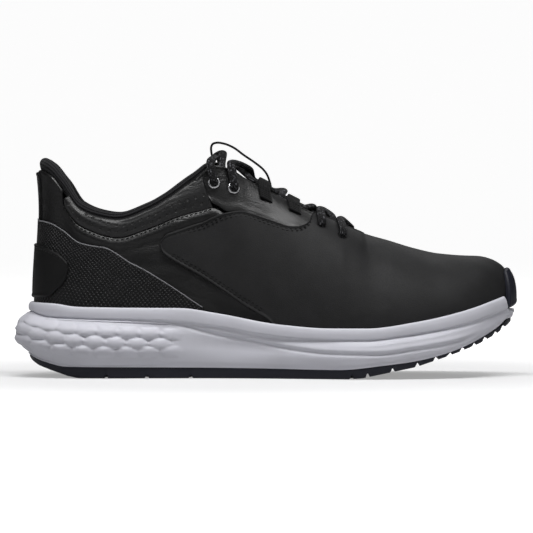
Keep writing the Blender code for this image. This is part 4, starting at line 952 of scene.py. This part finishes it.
def buildMidsole():
    rows = midsolePiece["wallRows"] + 8
    bm = flatGrid(midsolePiece["columns"], rows, thick=False)

    def place(u, v, w):
        s = 2 * u
        a, _ = foldOf(s)
        low = featherAt(s)
        out = outwardAt(s)
        j = np.rint(v * rows).astype(int)
        middle = np.clip(low[:, 0], heelX + 18, toeX - 22)
        station = stationOf(middle)
        centre = np.stack([middle, (medialAt(station) - lateralAt(station)) / 2], axis=-1)
        reach = bellyAt(a)
        foot = edgeAt(a)
        drop = midsolePiece["toeRimDrop"] * smooth(a, 0.9, 0.932)
        tuck = smooth(a, 0.9, 0.932)
        shift = np.zeros(len(u))
        height = np.zeros(len(u))
        share = np.ones(len(u))
        approxX = low[:, 0] + out[:, 0] * midsolePiece["rimOut"]
        rim = rimAt(approxX) - drop
        groove = np.minimum(grooveAt(approxX), rim - 2)
        edge = soleEdgeAt(approxX)
        rise = groove - edge
        floor = np.minimum(low[:, 2] - midsolePiece["floorDrop"], rim - 0.4)
        wall = np.clip((j - 4) / midsolePiece["wallRows"], 0, 1)
        # Knots of the wall profile: share, sideways reach, height.
        k = wall[:, None]
        knots = np.array([0, 0.05, 0.1, 0.2, 0.3, 0.33, 0.37, 0.5, 0.68, 0.86, 0.97, 1.0])
        zero = 0 * a
        outs = np.stack([2.4 + zero, 3.2 + zero, 4.4 - 1.1 * tuck, 4.9 - 1.5 * tuck, 4.7 - 1.3 * tuck, 3.5 - 0.2 * tuck,
                         3.3 + 0.35 * (reach - 3.5),
                         3.4 + 0.85 * (reach - 3.4), reach, foot + 0.55 * (reach - foot), foot + 0.08 * (reach - foot), foot],
                        axis=-1)
        highs = np.stack([rim - 0.5, rim, rim - 0.9, groove + 0.5 * (rim - groove), groove + 0.12 * (rim - groove), groove,
                          groove - 0.06 * rise, groove - 0.25 * rise, edge + 0.45 * rise, edge + 0.15 * rise,
                          edge + 0.02 * rise, edge - 0.3], axis=-1)
        cell = np.clip(np.searchsorted(knots, wall, side="right") - 1, 0, len(knots) - 2)
        span = knots[cell + 1] - knots[cell]
        part = (wall - knots[cell]) / span
        index = np.arange(len(u))

        def through(table):
            rate = np.diff(table, axis=1) / np.diff(knots)
            before = rate[:, :-1]
            after = rate[:, 1:]
            turning = before * after <= 0
            inner = np.where(turning, 0, 2 * before * after / np.where(turning, 1, before + after))
            slope = np.hstack([rate[:, :1], inner, rate[:, -1:]])
            p0 = table[index, cell]
            p1 = table[index, cell + 1]
            m0 = slope[index, cell] * span
            m1 = slope[index, cell + 1] * span
            q = part
            return p0 + q * (m0 + q * (3 * (p1 - p0) - 2 * m0 - m1 + q * (m0 + m1 - 2 * (p1 - p0))))

        onWall = (j >= 4) & (j <= midsolePiece["wallRows"] + 4)
        shift = np.where(onWall, through(outs), 0.0)
        height = np.where(onWall, through(highs), 0.0)
        crease = creaseAt(approxX)
        x = low[:, 0] + out[:, 0] * shift
        y = low[:, 1] + out[:, 1] * shift
        inCrease = smooth(approxX, -62, -46) * (1 - smooth(approxX, 112, 128))
        relief = -midsolePiece["creaseDepth"] * bump(height, crease, 1.1) * inCrease
        relief += 0.5 * bump(height, crease + 2.2, 1.6) * inCrease
        relief -= midsolePiece["scoopDepth"] * bump(approxX, -12, 26) * bump(height, 19, 7)
        relief += scaleRelief(x, height, y)
        shift = shift + np.where(onWall & (wall > 0.36) & (wall < 0.97), relief * (1 - tuck), 0)
        inside = j < 4
        insideShare = np.choose(np.clip(j, 0, 3), [0.0, 0.5, 0.97, 1.0])
        insideShift = np.choose(np.clip(j, 0, 3), [0.0, 0.0, 0.0, 2.2])
        middleFloor = rimByStation(station) - cupDepth - midsolePiece["floorDrop"]
        insideHeight = np.choose(np.clip(j, 0, 3), [middleFloor, middleFloor, middleFloor, floor])
        below = j > midsolePiece["wallRows"] + 4
        belowStep = np.clip(j - midsolePiece["wallRows"] - 4, 0, 4)
        belowShare = np.choose(belowStep, [1.0, 0.97, 0.6, 0.3, 0.0])
        under = soleEdgeAt(middle)
        belowHeight = np.choose(belowStep, [edge, edge + 0.3, (edge + under) / 2 + 1.2, under + 1.0, under + 1.0])
        share = np.where(inside, insideShare, np.where(below, belowShare, 1.0))
        shift = np.where(inside, insideShift, np.where(below, foot, shift))
        height = np.where(inside, insideHeight, np.where(below, belowHeight, height))
        point = np.column_stack([low[:, 0] + out[:, 0] * shift, low[:, 1] + out[:, 1] * shift, height])
        point[:, :2] = centre + (point[:, :2] - centre) * share[:, None]
        return point

    wrapGrid(bm, place)
    return finishPiece("midsoleFoam", bm, midsoleFoam, sharp=60)


midsole = buildMidsole()
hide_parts("midsole")

print("outsole and toe guard")
outsolePiece = {"lugGrooves": [60.5, 75.2, 90, 101, 109.4, 117, 124, 131, 137.5, 142.5], "sideSlits": [-94, -70, -44, 51],
                "grooveHalf": 0.9, "lugDepth": 2.2, "gap": -0.25, "rows": 60, "channels": [0.2, 0.38, 0.62, 0.8]}


def buildOutsole():
    cuts = []
    for middle in outsolePiece["lugGrooves"] + outsolePiece["sideSlits"]:
        for step in (-0.55, -0.25, 0.0, 0.25, 0.55):
            cuts.append(middle + step * 2.4)
    plain = np.concatenate([[-137, -136.6, -136, -135, -133.5], np.arange(-131, 146, 1.3), [146, 146.4, 146.5]])
    columns = np.array(sorted(list(plain) + cuts))
    stations = stationOf(columns)
    bm = flatGrid(len(columns) - 1, outsolePiece["rows"])

    def place(u, v, w):
        i = np.rint(u * (len(columns) - 1)).astype(int)
        a = stations[i]
        v = easedEnds(v, 0.7)
        reach = (edgeAt(a) - 0.3)[:, None]
        left = featherAt(a) + outwardAt(a) * reach
        right = featherAt(2 - a) + outwardAt(2 - a) * reach
        point = left * (1 - v[:, None]) + right * v[:, None]
        x = point[:, 0]
        width = np.linalg.norm(right[:, :2] - left[:, :2], axis=1)
        fromSide = np.minimum(v, 1 - v) * width
        top = soleEdgeAt(x) - outsolePiece["gap"]
        bottom = np.interp(x, np.array(groundLine)[:, 0], np.array(groundLine)[:, 1])
        cut = np.zeros(len(x))
        for middle in outsolePiece["lugGrooves"]:
            cut = np.maximum(cut, 1 - smooth(np.abs(x - middle), 0.5, outsolePiece["grooveHalf"] + 0.3))
        for middle in outsolePiece["sideSlits"]:
            cut = np.maximum(cut, (1 - smooth(np.abs(x - middle), 0.4, 1.0)) * (1 - smooth(fromSide, 9, 13)))
        for channel in outsolePiece["channels"]:
            bow = 0.02 * np.sin(x * 0.09)
            cut = np.maximum(cut, 0.7 * (1 - smooth(np.abs(v - channel - bow) * width, 0.6, 1.5)) * (np.abs(x) < 135))
        for rowX in np.arange(-120, 140, 9.0):
            chevron = rowX + 5 * np.abs(np.sin(v * math.pi * 3))
            cut = np.maximum(cut, 0.55 * (1 - smooth(np.abs(x - chevron), 0.4, 1.1)) * smooth(fromSide, 6, 9))
        corner = 0.9 * (1 - roundedEdge(fromSide, 0.9))
        low = np.minimum(bottom + np.maximum(cut * outsolePiece["lugDepth"], corner), top - 0.6)
        point[:, 2] = np.where(w < 0.5, top, low)
        return point

    wrapGrid(bm, place)
    return finishPiece("outsoleRubber", bm, navyRubber, sharp=40)


outsole = buildOutsole()
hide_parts("outsole")


def buildToeGuard():
    bm = flatGrid(90, 44)

    def place(u, v, w):
        # The cup tapers to a point at each end, and its edges are rounded over.
        u = easedEnds(u, 0.7)
        v = easedEnds(v, 0.8)
        s = 0.918 + 0.164 * u
        flank = np.abs(2 * u - 1)
        high = 0.93 - 0.28 * flank ** 2.6
        t = 0.035 + (high - 0.035) * v
        edge = np.minimum(np.minimum(v, 1 - v) * 26, (1 - flank) * 22)
        outer = 2.1 + (2.5 - 1.2 * v ** 3) * roundedEdge(edge, 1.1) + 0.25 * bump(edge, 2.0, 0.8)
        return skinAt(s, t, np.where(w < 0.5, outer, 1.95))

    wrapGrid(bm, place)
    return finishPiece("toeGuardRubber", bm, navyRubber, sharp=50)


guard = buildToeGuard()
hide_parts("toe_guard")

print("foot bed")


def bedSlab(name, look, inset, bottom, top, cup=0.0):
    bm = flatGrid(150, 40)

    def place(u, v, w):
        v = easedEnds(v, 0.7)
        left = featherAt(u) - outwardAt(u) * inset
        right = featherAt(2 - u) - outwardAt(2 - u) * inset
        point = left * (1 - v[:, None]) + right * v[:, None]
        edge = np.minimum(v, 1 - v) * np.linalg.norm(right - left, axis=1)
        crown = (top - bottom) * (0.35 + 0.65 * roundedEdge(edge, 2.0))
        rolled = cup * np.exp(-edge / 5.0) * np.where(w < 0.5, 1, 0)
        point[:, 2] = rimByStation(u) - cupDepth + np.where(w < 0.5, bottom + crown + rolled, bottom)
        return point

    def spread(u, v):
        return np.column_stack([u * 283, v * 80])

    wrapGrid(bm, place, spread)
    return finishPiece(name, bm, look, "sockliner", sharp=50)


footbed = bedSlab("footbedFoam", footbedFoam, 8.0, 1.0, 4.6)
footCloth = bedSlab("footbedCloth", liningKnit, 8.2, 4.75, 5.7, 0.6)
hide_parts("insole_foam")
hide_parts("insole_top_cloth")
for name in ("strobel_board", "heel_counter", "toe_puff", "shank"):
    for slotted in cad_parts[name].material_slots:
        slotted.material = fibreBoard

print("tongue")
tongueLine = [(-33.5, 129.6), (-27, 125.9), (-15, 118.6), (0, 108.8), (15, 100.4), (30, 92.4), (45, 85), (58, 78.8), (64, 76)]
tongueHalf = [(0, 13), (0.08, 18), (0.4, 21), (0.75, 17), (1, 12)]
tongueRadius = 27.0
tongueLineAt = curveThrough(tongueLine)
tongueHalfAt = curveThrough(tongueHalf)


def tonguePoint(x, arc, height):
    x = np.atleast_1d(np.asarray(x, dtype=float))
    slope = (tongueLineAt(x + 0.5) - tongueLineAt(x - 0.5))
    length = np.sqrt(1 + slope ** 2)
    angle = arc / tongueRadius + 0 * x
    radius = tongueRadius + height + 0 * x
    lift = radius * np.cos(angle) - tongueRadius
    return np.stack([x - slope / length * lift, radius * np.sin(angle), tongueLineAt(x) + lift / length], axis=-1)


def tongueLayer(name, look, outer, inner, start, end, trim, pillow=0.0, sharp=60):
    bm = flatGrid(110, 44)
    first = tongueLine[0][0]
    length = tongueLine[-1][0] - first

    def place(u, v, w):
        u = easedEnds(u, 0.6)
        v = easedEnds(v, 0.7)
        share = start + (end - start) * u
        half = tongueHalfAt(share) - trim
        arc = (2 * v - 1) * half
        edge = np.minimum(np.minimum(v, 1 - v) * half * 2, np.minimum(u, 1 - u) * (end - start) * 110)
        crest = inner + (outer - inner) * roundedEdge(edge, 1.2)
        crest = crest + pillow * smooth(edge, 1, 7) * (0.7 + 0.3 * np.sin(share * 30)) - 0.3 * bump(edge, 3.2, 0.7)
        return tonguePoint(first + length * share, arc, np.where(w < 0.5, crest, inner))

    def spread(u, v):
        return np.column_stack([u * (end - start) * 110, v * 40])

    wrapGrid(bm, place, spread)
    return finishPiece(name, bm, look, "tongue", sharp)


tongueTop = tongueLayer("tonguePadding", quarterHide, 0.2, -1.3, 0, 1, 0, 0.8)
tongueFoam = tongueLayer("tongueFoam", footbedFoam, -1.5, -5.6, 0.03, 0.95, 1.5)
tongueUnder = tongueLayer("tongueLiningKnit", liningKnit, -6.0, -6.9, 0.02, 0.97, 1.0)
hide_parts("tongue_shell")
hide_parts("tongue_foam")
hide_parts("tongue_lining")
strapBm = bmesh.new()
strapX = tongueLine[0][0] + (tongueLine[-1][0] - tongueLine[0][0]) * 0.1375


def strapPath(u):
    arc = (2 * u - 1) * 6.6
    point = tonguePoint(np.full(len(u), strapX), arc, 1.4)
    face = tonguePoint(np.full(len(u), strapX), arc, 2.4) - point
    across = tonguePoint(np.full(len(u), strapX + 0.5), arc, 1.4) - tonguePoint(np.full(len(u), strapX - 0.5), arc, 1.4)
    return point, face, across / np.linalg.norm(across, axis=1)[:, None]


tapeAlong(strapBm, strapPath, 5.6, 1.0, 40, 20)
strap = finishPiece("tongueKeeper", strapBm, webbingYarn, "tongue", 60)
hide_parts("tongue_strap")

print("lacing")
rows = [(45.4, 83.4), (32.9, 89.5), (17.5, 99), (0, 107.5), (-18.6, 112.5), (-30.4, 115.7)]
punched = (0, 1)
looped = (2, 3)
rimmed = (4, 5)
eyeletProfile = [(2.05, -3.0), (2.5, -3.0), (2.6, -0.2), (2.75, 0.25), (3.6, 0.25), (3.75, 0.45), (3.6, 0.85), (3.2, 1.15),
                 (2.75, 1.2), (2.35, 1.0), (2.1, 0.6)]
loopSection = [(-9, 1.2), (-4, 1.3), (0, 1.8), (3.6, 1.9), (6.4, 0.4), (6.8, -1.8), (4.8, -4.2), (1.4, -4.1), (-2, -3.9),
               (-6, -3.8)]


def rowFrame(row, side):
    s, t = locate(*rows[row])
    s = mirroredTo(s, side)
    spot = (np.array([s]), np.array([t]))
    return upperSurface(*spot)[0], upperNormal(*spot)[0], s


def throatFrame(s):
    near = upperSurface(np.array([s, s, s - 0.004, s + 0.004]), np.array([1.0, 0.95, 1.0, 1.0]))
    edge, below, before, after = near
    along = (after - before) * np.sign(after[0] - before[0])
    along /= np.linalg.norm(along)
    inwards = edge - below
    inwards -= along * inwards.dot(along)
    inwards /= np.linalg.norm(inwards)
    normal = np.cross(along, inwards)
    normal *= np.sign(normal[2])
    return edge, inwards, normal, along


def ringOf(name, look, profile, point, normal):
    bm = bmesh.new()
    ring = [bm.verts.new((r * mm, 0, z * mm)) for r, z in profile]
    edges = [bm.edges.new((ring[i], ring[i - 1])) for i in range(len(ring))]
    bmesh.ops.spin(bm, geom=ring + edges, cent=(0, 0, 0), axis=(0, 0, 1), dvec=(0, 0, 0), angle=2 * math.pi, steps=48,
                   use_merge=True)
    turn = Vector(normal).to_track_quat("Z", "Y").to_matrix().to_4x4()
    bmesh.ops.transform(bm, matrix=Matrix.Translation(Vector((point + centring) * mm)) @ turn, verts=bm.verts)
    return finishPiece(name, bm, look, sharp=50)


def laceLoop(name, s):
    edge, inwards, normal, along = throatFrame(s)
    perMm = 0.05 / np.linalg.norm(upperSurface(np.array([s]), np.array([0.95]))[0] - edge)
    section = np.array(loopSection, dtype=float)
    line = curveThrough(np.column_stack([np.linspace(0, 1, len(section)), section]))

    def pathAt(u):
        here = line(u)
        run = line(u + 0.02) - line(u - 0.02)
        run /= np.linalg.norm(run, axis=1)[:, None]
        past = here[:, 0]
        down = 1 + np.minimum(past, 0) * perMm
        point = skinAt(np.full(len(u), s), down, here[:, 1]) + inwards * np.maximum(past, 0)[:, None]
        face = normal * run[:, 0:1] - inwards * run[:, 1:2]
        return point, face, np.repeat(along[None, :], len(u), axis=0)

    bm = bmesh.new()
    tapeAlong(bm, pathAt, 8.0, 1.0, 90, 20)
    return finishPiece(name, bm, webbingYarn, sharp=60)


for side in ("lateral", "medial"):
    for row in rimmed:
        point, normal, _ = rowFrame(row, side)
        rim = ringOf("rimmedEyelet_%s_%d" % (side, row - 3), silverRim, eyeletProfile, point, normal)
        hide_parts("eyelet_%s_%d" % (side, row - 3))
    for row in punched:
        point, normal, _ = rowFrame(row, side)
        grommet = [(1.9, 1.0), (2.5, 1.0), (2.9, 1.9), (2.7, 2.15), (2.2, 2.0)]
        ringOf("punchedRim_%s_%d" % (side, row + 1), quarterHide, grommet, point, normal)
    for row in looped:
        s = rowFrame(row, side)[2]
        loop = laceLoop("webLoop_%s_%d" % (side, row - 1), s)
        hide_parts("lace_loop_%s_%d" % (side, row - 1))
        a = float(foldOf(np.array([s]))[0][0])
        spread = 0.011
        box = trace([(a - spread, 0.985), (a - spread, 0.935), (a + spread, 0.935), (a + spread, 0.985), (a - spread, 0.97)])
        stitchRow("loopStitch_%s_%d" % (side, row - 1), seamThread, box, 1.9, pitch=1.9, length=1.5, thickness=0.45,
                  sides=(side,))


def laceSide(row, side):
    return side if row % 2 == 0 else ("medial" if side == "lateral" else "lateral")


def rowPoints(row, side):
    point, normal, s = rowFrame(row, side)
    edge, inwards, edgeNormal, along = throatFrame(s)
    if row in looped:
        inside = edge + inwards * 3.2 - edgeNormal * 0.9
        return [inside + along * 7, inside, inside - along * 7]
    over = (1.8 if row in punched else 0.8) + 2.3
    beneath = 1.4 + (1.2 if row in punched else 3.2)
    return [edge + edgeNormal * over + inwards * 1.5, point + normal * over, point - normal * beneath,
            edge - edgeNormal * beneath + inwards * 0.5 - along * 2.5]


def strandOf(side):
    points = rowPoints(0, side)[2:]
    for row in range(5):
        onward = rowPoints(row + 1, laceSide(row + 1, side))
        x = (points[-1][0] + onward[0][0]) / 2
        points.append(tonguePoint(x, 0, 7.4 if side == "lateral" else 3.9)[0])
        points += onward
    points.pop()
    endSide = laceSide(5, side)
    for s, t, depth in ((0.455, 0.66, -6.5), (0.47, 0.58, -7), (0.5, 0.5, -7), (0.535, 0.44, -7), (0.57, 0.4, -7),
                        (0.61, 0.37, -7.5)):
        points.append(skinAt(np.array([mirroredTo(s, endSide)]), np.array([t]), np.array([depth]))[0])
    return points


def roundedPath(points, count):
    points = np.array(points)
    length = np.concatenate([[0], np.cumsum(np.linalg.norm(np.diff(points, axis=0), axis=1) ** 0.5)])
    slopes = np.gradient(points, length, axis=0) * 0.8
    fine = np.linspace(0, length[-1], count * 3)
    i = np.clip(np.searchsorted(length, fine, side="right") - 1, 0, len(length) - 2)
    span = (length[i + 1] - length[i])[:, None]
    k = ((fine - length[i]) / span[:, 0])[:, None]
    rise = points[i + 1] - points[i]
    m0 = slopes[i] * span
    m1 = slopes[i + 1] * span
    curve = points[i] + k * (m0 + k * (3 * rise - 2 * m0 - m1 + k * (m0 + m1 - 2 * rise)))
    run = np.concatenate([[0], np.cumsum(np.linalg.norm(np.diff(curve, axis=0), axis=1))])
    even = np.linspace(0, run[-1], count)
    return np.column_stack([np.interp(even, run, curve[:, axis]) for axis in range(3)]), run[-1]


lacePiece = {"width": 5.0, "height": 3.2, "steps": 1500, "around": 16}
lateralStrand = strandOf("lateral")
medialStrand = strandOf("medial")
barPoints = rowPoints(0, "lateral")[:2][::-1] + [tonguePoint(rows[0][0] + 3, 0, 6.4)[0]] + rowPoints(0, "medial")[:2]
lacePath, laceLength = roundedPath(lateralStrand[::-1] + barPoints + medialStrand, lacePiece["steps"] + 1)


def sweptOval(name, look, path, width, height, body="shoe"):
    way = np.gradient(path, axis=0)
    way /= np.linalg.norm(way, axis=1)[:, None]
    side = np.zeros_like(way)
    last = np.cross(way[0], [0.0, 0.0, 1.0])
    for i in range(len(way)):
        last = last - way[i] * last.dot(way[i])
        last = last / np.linalg.norm(last)
        # The flat side drifts towards level, so that a strand lies flat on the tongue.
        level = np.cross(way[i], [0.0, 0.0, 1.0])
        strength = np.linalg.norm(level)
        if strength > 0.3:
            level = level / strength * (1 if level.dot(last) > 0 else -1)
            last = last * 0.94 + level * 0.06
        side[i] = last
    side /= np.linalg.norm(side, axis=1)[:, None]
    up = np.cross(side, way)
    run = np.concatenate([[0], np.cumsum(np.linalg.norm(np.diff(path, axis=0), axis=1))])
    bm = flatGrid(len(path) - 1, lacePiece["around"], thick=False)

    def place(u, v, w):
        i = np.rint(u * (len(path) - 1)).astype(int)
        angle = 2 * math.pi * v
        return (path[i] + side[i] * (np.cos(angle) * width / 2)[:, None] + up[i] * (np.sin(angle) * height / 2)[:, None])

    def spread(u, v):
        return np.column_stack([run[np.rint(u * (len(path) - 1)).astype(int)], v * 12.0])

    wrapGrid(bm, place, spread)
    bmesh.ops.remove_doubles(bm, verts=bm.verts[:], dist=0.000005)
    bmesh.ops.holes_fill(bm, edges=bm.edges[:], sides=0)
    return finishPiece(name, bm, look, body, sharp=180, weld=0.000001)


lace = sweptOval("laceCord", laceYarn, lacePath, lacePiece["width"], lacePiece["height"])
for number, strand in ((1, lateralStrand), (2, medialStrand)):
    way = (strand[-1] - strand[-2]) / np.linalg.norm(strand[-1] - strand[-2])
    tipPath, _ = roundedPath([strand[-1] + way * 0.3, strand[-1] + way * 11, strand[-1] + way * 22], 40)
    tip = sweptOval("aglet_%d_tip" % number, agletFilm, tipPath, 3.6, 3.2)
    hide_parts("aglet_%d" % number)
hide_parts("lace")
print("lace length", round(laceLength))

print("pull loop")
pullLoopLine = [(-30.6, 129.6), (-31.9, 132.6), (-32.3, 136.4), (-31.1, 139), (-28.3, 139.6), (-24.6, 139), (-19.2, 136.8),
                (-12.8, 132.2), (-5.8, 127.4), (-1, 123.4), (1.6, 119.5), (3.4, 113.4), (4.2, 108.8)]
loopPoints = np.array(pullLoopLine)
loopRun = np.concatenate([[0], np.cumsum(np.linalg.norm(np.diff(loopPoints, axis=0), axis=1))])
loopAt = curveThrough(np.column_stack([loopRun / loopRun[-1], loopPoints]))


def pullPath(u):
    here = loopAt(u)
    run = loopAt(u + 0.01) - loopAt(u - 0.01)
    run /= np.linalg.norm(run, axis=1)[:, None]
    zero = np.zeros(len(u))
    face = np.stack([-run[:, 1], zero, run[:, 0]], axis=-1)
    return np.stack([here[:, 0], zero, here[:, 1]], axis=-1), face, np.repeat([[0.0, 1.0, 0.0]], len(u), axis=0)


pullBm = bmesh.new()
tapeAlong(pullBm, pullPath, 6.8, 1.3, 160, 20, 0.1)
pull = finishPiece("pullLoopRibbon", pullBm, webbingYarn, "loop", 60)
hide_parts("pull_loop")

print("floor, light and camera")
stageSet = {"floor": (0.86, 0.86, 0.87), "view": (0.0007, 0.0654), "across": 0.3198, "lens": 300.0, "elevation": 1.2}
floorBm = bmesh.new()
bmesh.ops.create_grid(floorBm, x_segments=1, y_segments=1, size=6.0)
backEdge = [edge for edge in floorBm.edges if all(vert.co.y > 5.9 for vert in edge.verts)]
grown = bmesh.ops.extrude_edge_only(floorBm, edges=backEdge)
bmesh.ops.translate(floorBm, vec=(0, 0, 5.0), verts=[item for item in grown["geom"] if isinstance(item, bmesh.types.BMVert)])
bend = [edge for edge in floorBm.edges if all(vert.co.y > 5.9 and abs(vert.co.z) < 0.01 for vert in edge.verts)]
bmesh.ops.bevel(floorBm, geom=bend, offset=2.5, offset_type="OFFSET", segments=16, profile=0.5, affect="EDGES", material=-1)
floorMesh = bpy.data.meshes.new("sweep")
floorBm.to_mesh(floorMesh)
floorBm.free()
floorMesh.shade_smooth()
floorLook, floorTree, floorShader, floorPlace, _ = startLook("paleFloor", 0.7, 0.2)
cloud = node(floorTree, "TexNoise", {"Vector": floorPlace, "Scale": 3.0}).outputs[0]
finishLook(floorTree, floorShader, mixed(floorTree, cloud, (0.50, 0.50, 0.505, 1), (0.53, 0.53, 0.535, 1)))
# The sweep brightens to white away from the shoe, for the eye only: it adds no light of its own to the shoe.
seen = floorTree.nodes.new("ShaderNodeLightPath").outputs["Is Camera Ray"]
reach = node(floorTree, "VectorMath", {0: floorPlace}, operation="LENGTH").outputs["Value"]
glow = calc(floorTree, "MULTIPLY", calc(floorTree, "MULTIPLY", calc(floorTree, "ADD", ramp(floorTree, reach, 0.14, 0.5), 0.55), 0.6), seen)
floorShader.inputs["Emission Color"].default_value = (1, 1, 1, 1)
floorTree.links.new(glow, floorShader.inputs["Emission Strength"])
floorMesh.materials.append(floorLook)
floor = bpy.data.objects.new("sweep", floorMesh)
floor.location.z = -0.0002
bpy.context.scene.collection.objects.link(floor)


def softLight(name, place, size, power, target=(0, 0, 0.06)):
    lamp = bpy.data.lights.new(name, "AREA")
    lamp.shape = "RECTANGLE"
    lamp.size, lamp.size_y = size
    lamp.energy = power
    holder = bpy.data.objects.new(name, lamp)
    holder.location = place
    holder.rotation_euler = (Vector(target) - Vector(place)).to_track_quat("-Z", "Y").to_euler()
    bpy.context.scene.collection.objects.link(holder)


softLight("topBox", (0.05, -0.5, 1.4), (1.3, 0.45), 24)
softLight("frontBox", (-0.3, -2.2, 1.2), (1.2, 0.4), 2.2)
softLight("toeBox", (1.5, -0.9, 0.9), (0.7, 0.7), 2.5)
softLight("heelBox", (-1.5, -0.5, 0.9), (0.5, 1.0), 2)
softLight("backBox", (0.2, 1.6, 1.3), (1.4, 0.6), 6)
world = bpy.data.worlds.new("studio")
world.use_nodes = True
backdrop = world.node_tree.nodes["Background"]
backdrop.inputs[0].default_value = (1, 1, 1, 1)
direct = world.node_tree.nodes.new("ShaderNodeLightPath").outputs["Is Camera Ray"]
world.node_tree.links.new(calc(world.node_tree, "MULTIPLY_ADD", direct, 0.95, 0.05), backdrop.inputs[1])
bpy.context.scene.world = world
bpy.context.scene.view_settings.view_transform = "Standard"

camera = bpy.data.cameras.new("camera")
camera.lens = stageSet["lens"]
camera.sensor_width = 36
eye = bpy.data.objects.new("camera", camera)
away = stageSet["across"] * stageSet["lens"] / 36
lean = math.radians(stageSet["elevation"])
aim = Vector((stageSet["view"][0], 0, stageSet["view"][1]))
eye.location = aim + Vector((0, -math.cos(lean), math.sin(lean))) * away
eye.rotation_euler = (math.pi / 2 - lean, 0, 0)
camera.clip_end = 50
bpy.context.scene.collection.objects.link(eye)
bpy.context.scene.camera = eye
